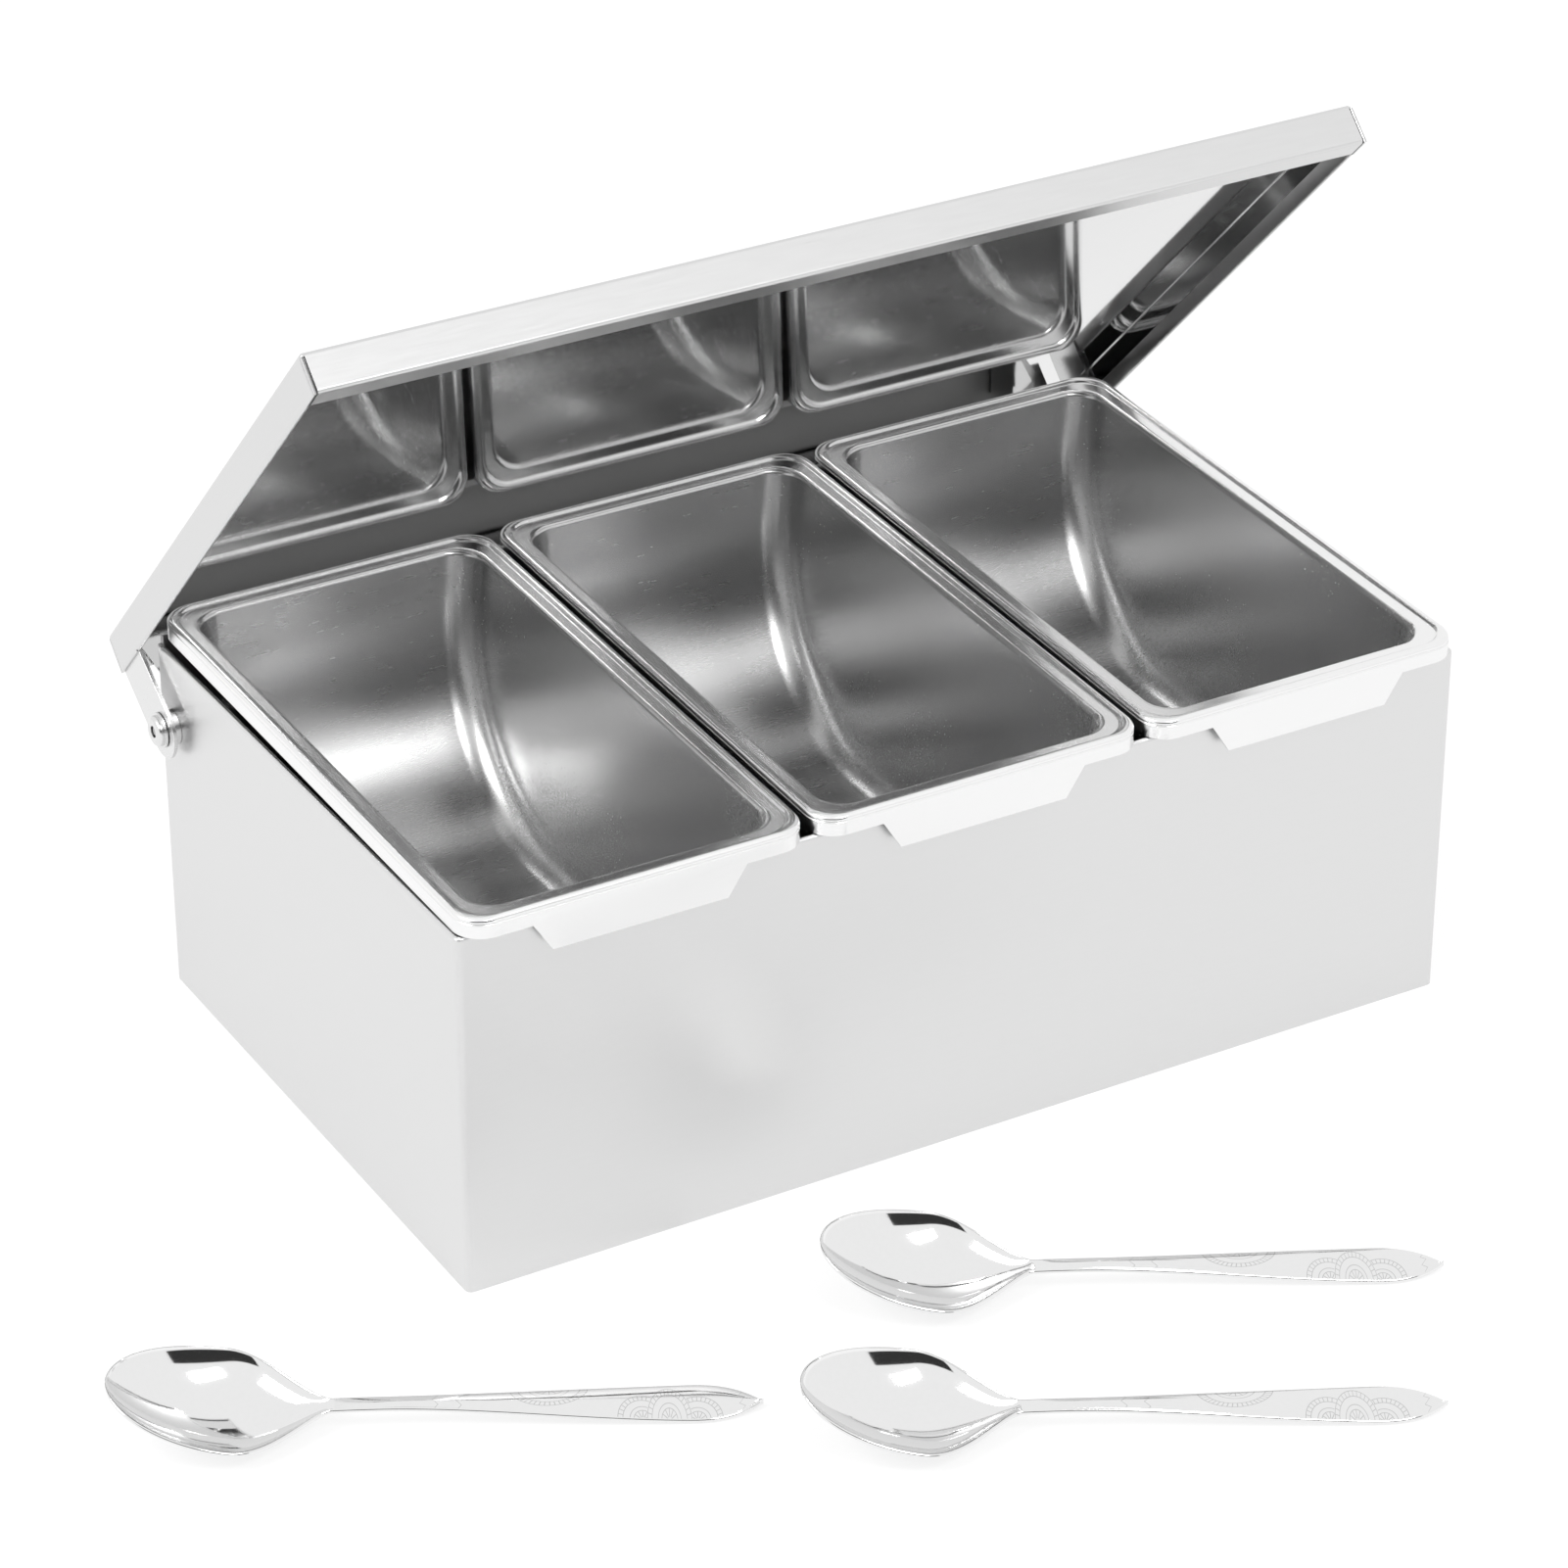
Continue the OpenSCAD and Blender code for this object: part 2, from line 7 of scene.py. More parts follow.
import bpy
import mathutils
import numpy as np
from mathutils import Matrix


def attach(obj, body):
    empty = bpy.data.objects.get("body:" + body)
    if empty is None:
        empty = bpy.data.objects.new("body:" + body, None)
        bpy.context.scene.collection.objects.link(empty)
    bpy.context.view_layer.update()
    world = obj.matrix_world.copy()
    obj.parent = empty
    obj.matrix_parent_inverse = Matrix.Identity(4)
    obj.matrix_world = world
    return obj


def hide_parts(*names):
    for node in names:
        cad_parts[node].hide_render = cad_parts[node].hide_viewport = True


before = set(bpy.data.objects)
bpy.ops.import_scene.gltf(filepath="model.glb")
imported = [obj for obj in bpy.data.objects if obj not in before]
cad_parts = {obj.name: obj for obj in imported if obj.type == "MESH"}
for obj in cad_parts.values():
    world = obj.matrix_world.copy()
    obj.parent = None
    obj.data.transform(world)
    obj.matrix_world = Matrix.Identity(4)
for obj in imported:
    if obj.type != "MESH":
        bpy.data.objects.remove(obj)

bl_info = {
    "name": "Condiment Caddy",
    "version": (1, 0, 0),
    "blender": (4, 5, 0),
    "location": "View3D > Sidebar > Caddy",
    "description": "Builds the sheet-metal caddy, its pans, lid, hinges and spoons, and the stage",
    "category": "Object",
}


# ---- properties

def length(default, name, description):
    return bpy.props.FloatProperty(
        name=name, description=description, default=default, unit="LENGTH", subtype="DISTANCE", precision=5)


def number(default, name, description):
    return bpy.props.FloatProperty(name=name, description=description, default=default)


def angle(default, name, description):
    return bpy.props.FloatProperty(
        name=name, description=description, default=math.radians(default), subtype="ANGLE", unit="ROTATION")


def count(default, name, description):
    return bpy.props.IntProperty(name=name, description=description, default=default, min=1)


class CaddyBox(bpy.types.PropertyGroup):
    """Sizes of the folded box"""
    width: length(0.320, "Width", "Outside width of the box")
    depth: length(0.189, "Depth", "Outside depth of the box")
    height: length(0.112, "Height", "Height of the front and side walls")
    sheet: length(0.001, "Sheet", "Thickness of the box sheet")
    bend: length(0.002, "Bend", "Outside radius of the front corners")
    fold: length(0.006, "Fold", "Height of the fold along the top of the walls")
    strip: length(0.010, "Strip", "Width of the strips turned in behind the box")


class CaddyPans(bpy.types.PropertyGroup):
    """Sizes of the pans"""
    width: length(0.3122 / 3, "Width", "Width of a pan over its rim")
    pitch: length(0.3122 / 3 + 0.0028, "Pitch", "Distance between the middles of neighbouring pans")
    front: length(-0.0985, "Front", "Y of the rim's front edge")
    back: length(0.0951, "Back", "Y of the rim's rear edge")
    top: length(0.1183, "Top", "Height of the rim's top at the front")
    rise: number(3.8 / 187.0, "Rise", "Rise of the rims towards the back, per unit of length")
    sheet: length(0.0008, "Sheet", "Thickness of the pan sheet")
    skirt: length(0.0061, "Skirt", "Height of the turned-down skirt")
    bead: length(0.0014, "Bead", "Radius of the rolled bead")
    rim: length(0.0072, "Rim", "Width of the rim from its edge to the inside wall")
    corner: length(0.0085, "Corner", "Radius of the rim's outer corners")
    crease: length(0.0004, "Crease", "Depth of the crease between the bead and the skirt")
    drop: length(0.0009, "Drop", "Drop of the flat rim below the bead")
    lip: length(0.0016, "Lip", "Radius of the lip")
    depth: length(0.076, "Depth", "Depth of a pan below its flat rim")
    sweep: length(0.065, "Sweep", "Radius from the end walls to the bottom")
    side: length(0.009, "Side", "Radius between the side walls and the ends and bottom")
    lean: number(0.08, "Lean", "Inward lean of the side walls per unit of depth")
    tab_top: length(0.0645, "Tab top", "Width of the pull tab at the skirt")
    tab_low: length(0.053, "Tab bottom", "Width of the pull tab at its lower edge")
    tab_height: length(0.009, "Tab height", "Height of the pull tab")


class CaddyLid(bpy.types.PropertyGroup):
    """Sizes of the lid and its hinges"""
    opening: angle(46.2, "Opening", "Angle of the lid above level")
    pivot_y: length(0.0849, "Pivot Y", "Y of the line that the lid turns about")
    pivot_z: length(0.0895, "Pivot Z", "Height of the line that the lid turns about")
    sheet: length(0.0007, "Sheet", "Thickness of the lid sheet")
    bend: length(0.0012, "Bend", "Outside radius of the bends")
    fold: length(0.005, "Fold", "Height of the flat fold in the side skirts")
    turn_in: length(0.008, "Turn-in", "Width of the strip turned in under the front skirt")
    notch: length(0.0014, "Notch", "Length of the notch at each front corner")
    skirt: length(0.012, "Skirt", "Height of the front and side skirts")
    strip: length(0.020, "Rear strip", "Height of the strip inside the rear skirt")
    strip_lean: angle(17.0, "Strip lean", "Lean of the rear strip's ends")


class CaddySpoons(bpy.types.PropertyGroup):
    """Sizes of the spoons"""
    length: length(0.171, "Length", "Overall length of a spoon")
    bowl_half: length(0.0188, "Bowl half width", "Half of the bowl's width")
    bowl_wide: length(0.031, "Widest place", "Distance from the bowl's tip to its widest place")
    neck_at: length(0.058, "Neck place", "Distance from the bowl's tip to the neck")
    neck_half: length(0.0024, "Neck half width", "Half of the neck's width")
    handle_half: length(0.0065, "Handle half width", "Half of the handle's greatest width")
    point: length(0.021, "Point", "Length of the handle's pointed end")
    bowl_depth: length(0.009, "Bowl depth", "Depth of the bowl")
    neck_z: length(0.0082, "Neck height", "Height of the spoon's edge at the neck")
    handle_fall: length(0.006, "Handle fall", "How far the handle sinks to its end")
    bowl_rise: length(0.0125, "Bowl rise", "How far the edge rises to the bowl's tip")
    turn: angle(-25.6, "Turn", "Direction in which the handles point")
    roll: angle(12.0, "Roll", "Sideways tilt of the spoons")
    seat: length(0.0003, "Seat", "Clearance under the spoons")
    metal: length(0.0014, "Metal", "Thickness of the spoon")


class CaddyStage(bpy.types.PropertyGroup):
    """Camera, floor and light"""
    lens: number(128.01, "Lens", "Focal length on a 36 mm sensor")
    shift_x: number(-0.00344, "Shift X", "Sideways shift of the lens")
    shift_y: number(-0.01004, "Shift Y", "Upward shift of the lens")
    world: number(1.0, "World", "Strength of the white surroundings")


# ---- mesh helpers

def rows(*parts):
    """Stacks points or rows of points into one float array."""
    return np.array(np.concatenate([np.atleast_2d(np.asarray(p, float)) for p in parts]))


def arc(cx, cy, r, a0, a1, n):
    """n + 1 points of an arc in a plane, angles in degrees."""
    t = np.radians(np.linspace(a0, a1, n + 1))
    return np.stack([cx + r * np.cos(t), cy + r * np.sin(t)], 1)


def faces_of(P, closed_u, closed_v, flip):
    """Quads between the rows and columns of a grid of points P[u, v]; pinched quads become triangles."""
    n, m = P.shape[:2]
    ids = np.arange(n * m).reshape(n, m)
    if closed_u:
        ids = np.vstack([ids, ids[:1]])
    if closed_v:
        ids = np.hstack([ids, ids[:, :1]])
    q = np.stack([ids[:-1, :-1], ids[1:, :-1], ids[1:, 1:], ids[:-1, 1:]], -1).reshape(-1, 4)
    if flip:
        q = q[:, ::-1]
    V = P.reshape(-1, 3)
    out = []
    gap = [np.linalg.norm(V[q[:, k]] - V[q[:, (k + 1) % 4]], axis=1) < 1e-8 for k in range(4)]
    pinched = gap[0] | gap[1] | gap[2] | gap[3]
    out += q[~pinched].tolist()
    for f, g in zip(q[pinched].tolist(), np.stack(gap, 1)[pinched].tolist()):
        kept = [v for v, same in zip(f, g) if not same]
        if len(kept) == 3:
            out.append(kept)
    return out


def patch(P, mat=0, closed_u=False, closed_v=False, flip=False):
    return {"P": np.asarray(P, float), "mat": mat, "cu": closed_u, "cv": closed_v, "flip": flip}


def cap(loop, mat=0, flip=False):
    """A flat polygon with its own normal."""
    loop = np.asarray(loop, float)
    return {"P": loop[None], "mat": mat, "cap": True, "flip": flip}


def build(name, patches, mats, body, nodes=(), fields=None):
    """Joins patches into one mesh. Each vertex takes the area-weighted normal of its own patch, so
    flat sheets stay flat beside their bends and edges between patches stay crisp."""
    verts, faces, index, normals = [], [], [], []
    base = 0
    for p in patches:
        V = p["P"].reshape(-1, 3)
        if p.get("cap"):
            f = [list(range(len(V)))]
            if p["flip"]:
                f = [f[0][::-1]]
        else:
            f = faces_of(p["P"], p["cu"], p["cv"], p["flip"])
        N = np.zeros_like(V)
        for size in (3, 4):
            F = np.array([x for x in f if len(x) == size], int)
            if not len(F):
                continue
            a = V[F[:, 2]] - V[F[:, 0]]
            b = (V[F[:, 3]] - V[F[:, 1]]) if size == 4 else (V[F[:, 2]] - V[F[:, 1]])
            c = np.cross(a, b)
            for k in range(size):
                np.add.at(N, F[:, k], c)
        if p.get("cap"):
            o = V[np.array(f[0])]
            c = sum(np.cross(o[k] - o[0], o[(k + 1) % len(o)] - o[0]) for k in range(len(o)))
            N[:] = c
        size = np.linalg.norm(N, axis=1, keepdims=True)
        N = np.where(size > 1e-20, N / np.maximum(size, 1e-20), [0, 0, 1])
        verts.append(V)
        normals.append(N)
        faces += [[i + base for i in x] for x in f]
        index += [p["mat"]] * len(f)
        base += len(V)
    verts, normals = np.concatenate(verts), np.concatenate(normals)
    mesh = bpy.data.meshes.new(name)
    mesh.from_pydata(verts.tolist(), [], faces)
    for m in mats:
        mesh.materials.append(m)
    mesh.polygons.foreach_set("material_index", np.array(index, np.int32))
    mesh.polygons.foreach_set("use_smooth", np.ones(len(faces), bool))
    mesh.normals_split_custom_set_from_vertices(normals.tolist())
    if fields:
        for key, values in fields.items():
            mesh.attributes.new(key, "FLOAT", "POINT").data.foreach_set("value", np.asarray(values, np.float32))
    mesh.update()
    obj = bpy.data.objects.new(name, mesh)
    bpy.context.scene.collection.objects.link(obj)
    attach(obj, body)
    if nodes:
        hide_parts(*nodes)
    return obj


def extrude_x(profile, x0, x1):
    """Grid of a profile (y, z) between two planes across X."""
    p = np.asarray(profile, float)
    return np.stack([np.column_stack([np.full(len(p), x), p]) for x in (x0, x1)])


def extrude_y(profile, y0, y1):
    """Grid of a profile (x, z) between two planes across Y."""
    p = np.asarray(profile, float)
    return np.stack([np.column_stack([p[:, 0], np.full(len(p), y), p[:, 1]]) for y in (y0, y1)])


def offset(profile, d):
    """A polyline moved by d to its left, with mitred corners."""
    p = np.asarray(profile, float)
    e = np.diff(p, axis=0)
    n = np.stack([-e[:, 1], e[:, 0]], 1) / np.maximum(np.linalg.norm(e, axis=1, keepdims=True), 1e-12)
    m = np.vstack([n[:1], n[:-1] + n[1:], n[-1:]])
    m /= np.maximum(np.linalg.norm(m, axis=1, keepdims=True), 1e-12)
    first = np.vstack([n[:1], n])
    return p + m * (d / np.maximum((m * first).sum(1), 0.2))[:, None]


def sheet(grid_of, profile, t, outer=0, inner=1, edge=0, flip=False, ends=(True, True)):
    """Patches of a bent sheet: profile is its outer face, walked with the metal on its left. grid_of
    turns a profile into a grid of two or more rows."""
    out, inn = grid_of(profile), grid_of(offset(profile, t))
    made = [patch(out, outer, flip=flip), patch(inn, inner, flip=not flip)]
    for k in (0, -1):
        made.append(patch(np.stack([out[:, k], inn[:, k]]), edge, flip=(k == 0) == flip))
    for k, wanted in zip((0, -1), ends):
        if wanted:
            made.append(patch(np.stack([out[k], inn[k]]), edge, flip=(k == 0) != flip))
    return made


def lathe(profile, centre, sign, steps=72):
    """Grid of a profile (radius, distance along X) turned about a line along X."""
    p = np.asarray(profile, float)
    a = np.linspace(0, 2 * math.pi, steps, endpoint=False)
    P = np.zeros((steps, len(p), 3))
    P[..., 0] = sign * (centre[0] + p[:, 1])[None]
    P[..., 1] = centre[1] + p[:, 0][None] * np.cos(a)[:, None]
    P[..., 2] = centre[2] + p[:, 0][None] * np.sin(a)[:, None]
    return P


def turned(profile, centre, sign, mat=0, steps=72):
    """Patches of a turned body; a repeated point in the profile makes a crisp edge."""
    made, run = [], [profile[0]]
    for a, b in zip(profile[:-1], profile[1:]):
        if np.allclose(a, b):
            made.append(run)
            run = [b]
        else:
            run.append(b)
    made.append(run)
    return [patch(lathe(r, centre, sign, steps), mat, closed_u=True, flip=sign < 0) for r in made if len(r) > 1]


# ---- materials

def node(tree, kind, **values):
    n = tree.nodes.new(kind)
    for k, v in values.items():
        if k in n.inputs:
            n.inputs[k].default_value = v
        else:
            setattr(n, k, v)
    return n


def metal(name, colour, rough, grain=(1, 1, 1), grain_scale=900.0, bump=0.02, spread=0.04, cloud=0.02,
          coord="Object", aniso=0.0):
    """Satin stainless: fine stretched noise gives the grain, broad noise gives slow changes of sheen."""
    m = bpy.data.materials.new(name)
    m.use_nodes = True
    t = m.node_tree
    t.nodes.clear()
    out = node(t, "ShaderNodeOutputMaterial")
    bsdf = node(t, "ShaderNodeBsdfPrincipled")
    bsdf.inputs["Metallic"].default_value = 1.0
    bsdf.inputs["Anisotropic"].default_value = aniso
    t.links.new(bsdf.outputs[0], out.inputs[0])
    tc = node(t, "ShaderNodeTexCoord")
    mp = node(t, "ShaderNodeMapping")
    mp.inputs["Scale"].default_value = grain
    t.links.new(tc.outputs[coord], mp.inputs[0])
    fine = node(t, "ShaderNodeTexNoise")
    fine.inputs["Scale"].default_value = grain_scale
    fine.inputs["Detail"].default_value = 3.0
    t.links.new(mp.outputs[0], fine.inputs["Vector"])
    broad = node(t, "ShaderNodeTexNoise")
    broad.inputs["Scale"].default_value = 14.0
    broad.inputs["Detail"].default_value = 2.0
    t.links.new(mp.outputs[0], broad.inputs["Vector"])
    rr = node(t, "ShaderNodeMapRange")
    rr.inputs["To Min"].default_value = rough - spread
    rr.inputs["To Max"].default_value = rough + spread
    t.links.new(fine.outputs["Fac"], rr.inputs["Value"])
    rc = node(t, "ShaderNodeMapRange")
    rc.inputs["To Min"].default_value = -cloud
    rc.inputs["To Max"].default_value = cloud
    t.links.new(broad.outputs["Fac"], rc.inputs["Value"])
    add = node(t, "ShaderNodeMath", operation="ADD", use_clamp=True)
    t.links.new(rr.outputs[0], add.inputs[0])
    t.links.new(rc.outputs[0], add.inputs[1])
    t.links.new(add.outputs[0], bsdf.inputs["Roughness"])
    cr = node(t, "ShaderNodeMix", data_type="RGBA")
    for s in cr.inputs:
        if s.type == "RGBA" and s.name == "A":
            s.default_value = (*[c * 0.985 for c in colour], 1)
        if s.type == "RGBA" and s.name == "B":
            s.default_value = (*[min(c * 1.015, 1) for c in colour], 1)
    t.links.new(fine.outputs["Fac"], cr.inputs["Factor"])
    t.links.new([o for o in cr.outputs if o.type == "RGBA"][0], bsdf.inputs["Base Color"])
    if bump:
        bp = node(t, "ShaderNodeBump")
        bp.inputs["Strength"].default_value = bump
        bp.inputs["Distance"].default_value = 0.0003
        t.links.new(fine.outputs["Fac"], bp.inputs["Height"])
        t.links.new(bp.outputs[0], bsdf.inputs["Normal"])
    return m


def engrave(m):
    """Adds the handle's lace ornament to a metal. The fields along, far and near are millimetres from the
    bowl's tip and from the two edges. Half rosettes of rings and rays stand on the edges, with three
    zigzag lines across: each is 1 on its line and falls to 0 at the line's half width."""
    t = m.node_tree
    bsdf = [n for n in t.nodes if n.type == "BSDF_PRINCIPLED"][0]

    def op(kind, a, b=0.0, clamp=False):
        n = node(t, "ShaderNodeMath", operation=kind, use_clamp=clamp)
        for k, v in enumerate((a, b)):
            if isinstance(v, (int, float)):
                n.inputs[k].default_value = v
            else:
                t.links.new(v, n.inputs[k])
        return n.outputs[0]

    def field(key):
        return node(t, "ShaderNodeAttribute", attribute_name=key).outputs["Fac"]
    along, far, near, upper = field("along"), field("far"), field("near"), field("upper")

    def line(d, half=0.16):
        return op("SUBTRACT", 1.0, op("DIVIDE", op("ABSOLUTE", d), half), True)

    def within(x, low, high):
        return op("MULTIPLY", op("GREATER_THAN", x, low), op("LESS_THAN", x, high))
    total = 0.0

    def rosette(cu, edge, rx, ry, rays, floor=0.0):
        a, b = op("DIVIDE", op("SUBTRACT", along, cu), rx), op("DIVIDE", op("SUBTRACT", edge, floor), ry)
        rho = op("SQRT", op("ADD", op("MULTIPLY", a, a), op("MULTIPLY", b, b)))
        turn = op("ARCTAN2", b, a)
        mean = (rx + ry) / 2
        found = 0.0
        for ring in (1.0, 0.80, 0.52, 0.36):
            found = op("MAXIMUM", found, line(op("MULTIPLY", op("SUBTRACT", rho, ring), mean)))
        spoke = line(op("MULTIPLY", op("MULTIPLY", op("SINE", op("MULTIPLY", turn, float(rays))), rho), mean / rays))
        found = op("MAXIMUM", found, op("MULTIPLY", spoke, within(rho, 0.80, 1.0)))
        spoke = line(op("MULTIPLY", op("MULTIPLY", op("SINE", op("MULTIPLY", turn, 6.0)), rho), mean / 6))
        found = op("MAXIMUM", found, op("MULTIPLY", spoke, within(rho, 0.10, 0.36)))
        return found, op("LESS_THAN", rho, 1.03)
    hanging, inside = rosette(114.8, far, 10.2, 6.0, 22)
    total = op("MULTIPLY", hanging, inside)
    dome, in_dome = rosette(146.0, near, 5.8, 10.6, 16)
    total = op("MAXIMUM", total, op("MULTIPLY", dome, in_dome))
    for cu in (139.0, 153.4):
        lobe, in_lobe = rosette(cu, near, 6.6, 7.8, 16)
        total = op("MAXIMUM", total, op("MULTIPLY", op("MULTIPLY", lobe, in_lobe), op("SUBTRACT", 1.0, in_dome)))
    for at in (84.2, 90.3, 164.6):
        wave = op("PINGPONG", near, 1.5)
        total = op("MAXIMUM", total, line(op("SUBTRACT", op("SUBTRACT", along, at), wave), 0.14))
    total = op("MULTIPLY", total, op("GREATER_THAN", upper, 0.5))
    old = bsdf.inputs["Base Color"].links[0].from_socket
    mix = node(t, "ShaderNodeMix", data_type="RGBA")
    sockets = [i for i in mix.inputs if i.type == "RGBA"]
    t.links.new(op("MULTIPLY", total, 0.75), mix.inputs[0])
    t.links.new(old, sockets[0])
    sockets[1].default_value = (0.34, 0.34, 0.34, 1)
    t.links.new([o for o in mix.outputs if o.type == "RGBA"][0], bsdf.inputs["Base Color"])
    return m


FINISHES = {}


def finishes():
    """All materials, made once."""
    if FINISHES:
        return FINISHES
    F = FINISHES
    F["box"] = metal("box_satin", (0.73, 0.73, 0.73), 0.36, (0.06, 0.06, 1.0), 1400, 0.05, 0.05)
    F["lid_out"] = metal("lid_satin", (0.69, 0.69, 0.69), 0.30, (0.06, 1.0, 1.0), 1400, 0.04, 0.05)
    F["lid_in"] = metal("lid_polished", (0.74, 0.74, 0.74), 0.05, (0.05, 1.0, 1.0), 1600, 0.004, 0.02, 0.01)
    F["hinge"] = metal("hinge_plain", (0.74, 0.74, 0.74), 0.26, (1, 1, 1), 900, 0.03, 0.04)
    # The pin is a darker copy of the steel, painted shade for the dark hole in the rivet's middle.
    F["pin"] = metal("pin_painted_shade", (0.45, 0.45, 0.45), 0.42, (1, 1, 1), 1200, 0.06, 0.05)
    # The pans are one steel in two copies: the darker one on the insides is painted shade, the lighter one on the
    # rims and tabs is a painted highlight.
    F["pan_in"] = metal("pan_painted_shade", (0.62, 0.62, 0.62), 0.27, (0.08, 1.0, 1.0), 1300, 0.0, 0.012, 0.01)
    F["pan_rim"] = metal("pan_painted_highlight", (0.87, 0.87, 0.87), 0.20, (0.10, 1.0, 1.0), 1300, 0.0, 0.02)
    F["spoon"] = engrave(metal("spoon_polished", (0.82, 0.82, 0.82), 0.07, (1, 1, 1), 700, 0.004, 0.02, 0.01))
    return F


# ---- box

def swept(path, inward, section):
    """Grid of a section (distance inwards, height) carried along a plan path."""
    P = np.zeros((len(path), len(section), 3))
    P[..., :2] = path[:, None] + inward[:, None] * section[None, :, 0, None]
    P[..., 2] = section[None, :, 1]
    return P


def plan_path(points, r, n=8):
    """A plan path with round corners of radius r, and its inward normals (to the left)."""
    pts = [np.asarray(p, float) for p in points]
    out, nrm = [], []

    def left(d):
        return np.array([-d[1], d[0]])
    for k, p in enumerate(pts):
        if k in (0, len(pts) - 1):
            d = pts[1] - pts[0] if k == 0 else pts[-1] - pts[-2]
            d = d / np.linalg.norm(d)
            out.append(p)
            nrm.append(left(d))
            continue
        a = (p - pts[k - 1]) / np.linalg.norm(p - pts[k - 1])
        b = (pts[k + 1] - p) / np.linalg.norm(pts[k + 1] - p)
        c = p - a * r + left(a) * r
        for s in np.linspace(0, 1, n + 1):
            w = -left(a) * math.cos(s * math.pi / 2) + a * math.sin(s * math.pi / 2)
            out.append(c + w * r)
            nrm.append(-w)
    return np.array(out), np.array(nrm)


def box_patches(g):
    """The wrapped wall: a plan path round the box carries a section whose top folds over in a half
    circle; two plain strips turn in behind."""
    hw, hd, H, t, f = g.width / 2, g.depth / 2, g.height, g.sheet, g.fold
    join = hd - 3 * t - 0.0003
    path, inward = plan_path([(-hw, join), (-hw, -hd), (hw, -hd), (hw, join)], g.bend)
    skin = rows([(0, 0)], arc(t, H - t, t, 180, 0, 12), [(2 * t, H - f)])
    made = [patch(swept(path, inward, skin)),
            patch(swept(path, inward, rows([(2 * t, H - f)], [(t, H - f)]))),
            patch(swept(path, inward, rows([(t, H - f)], [(t, 0)]))),
            patch(swept(path, inward, rows([(t, 0)], [(0, 0)])))]
    ring = rows(skin, [(t, H - f)], [(t, 0)])
    for k, flip in ((0, False), (-1, True)):
        made.append(cap(swept(path[[k]], inward[[k]], ring)[0], flip=flip))
    for s in (-1, 1):
        pts = [(-hw + g.strip, hd), (-hw, hd), (-hw, join)]
        if s > 0:
            pts = [(hw, join), (hw, hd), (hw - g.strip, hd)]
        path, inward = plan_path(pts, 0.0016)
        for a, b in (((0, 0), (0, H)), ((0, H), (t, H)), ((t, H), (t, 0)), ((t, 0), (0, 0))):
            made.append(patch(swept(path, inward, rows([a], [b]))))
        ring = rows([(0, 0)], [(0, H)], [(t, H)], [(t, 0)])
        for k, flip in ((0, False), (-1, True)):
            made.append(cap(swept(path[[k]], inward[[k]], ring)[0], flip=flip))
    return made


# ---- pans

def rim_loop(g, L, inset, z, steps=14):
    """Closed loop of the rim, inset from its outer edge: a rectangle whose corner radius passes from
    that of the outer edge to that of the inside walls."""
    r = g.corner + (g.side - g.corner) * min(max(inset / g.rim, 0), 1)
    x = g.width / 2 - inset - r
    out = []
    for sx, y, a0 in ((1, L - inset - r, 0), (-1, L - inset - r, 90), (-1, inset + r, 180), (1, inset + r, 270)):
        a = np.radians(a0 + np.linspace(0, 90, steps + 1))
        out.append(np.stack([sx * x + r * np.cos(a), y + r * np.sin(a), np.full(len(a), z)], 1))
    return np.concatenate(out)


def tub_loop(g, L, a, drop, thick, steps=14):
    """Closed loop of the inside at one station of the end sweep, a degrees down from upright. It runs
    round the edge between side wall and sweep, which has its own radius square to the sweep."""
    cy, cz = g.rim + g.sweep, -g.drop - g.depth + g.sweep
    R, r = g.sweep + thick, g.side + thick
    out = []
    for sx, sy, odd in ((1, 1, 0), (-1, 1, 1), (-1, -1, 0), (1, -1, 1)):
        b = np.radians(np.linspace(0, 90, steps + 1))
        if odd:
            b = b[::-1]
        reach = R - r * (1 - np.sin(b))
        y = cy - reach * math.cos(math.radians(a))
        z = cz + drop - reach * math.sin(math.radians(a))
        x = g.width / 2 - g.rim + thick - g.lean * np.maximum(-g.drop - z, 0) - r * (1 - np.cos(b))
        out.append(np.stack([sx * x, L - y if sy > 0 else y, z], 1))
    return np.concatenate(out)


def rim_profile(g, steps=8):
    """Outer face of the rim in section (inset, height): skirt, bead, flat rim and lip."""
    b = g.bead
    bead = [(b + b * math.sin(math.radians(q)), -b + b * math.cos(math.radians(q)))
            for q in np.linspace(-90, 52, 2 * steps + 1)]
    x0, z0 = bead[-1]
    run = 0.0007
    slope = -math.tan(math.radians(52))
    blend = []
    for s in np.linspace(0, 1, steps + 1)[1:]:
        h00, h10, h01 = 2 * s**3 - 3 * s**2 + 1, s**3 - 2 * s**2 + s, -2 * s**3 + 3 * s**2
        blend.append((x0 + run * s, h00 * z0 + h10 * run * slope + h01 * -g.drop))
    lip = [(g.rim - g.lip + g.lip * math.sin(math.radians(q)), -g.drop - g.lip * (1 - math.cos(math.radians(q))))
           for q in np.linspace(0, 82, steps + 1)]
    k, m = g.crease, -b - g.crease * 1.1
    crease = [(0, m - k), (k * 0.25, m - k * 0.6), (k, m), (k * 0.25, m + k * 0.6)]
    return rows([(0, -g.skirt)], crease, bead, blend, lip)


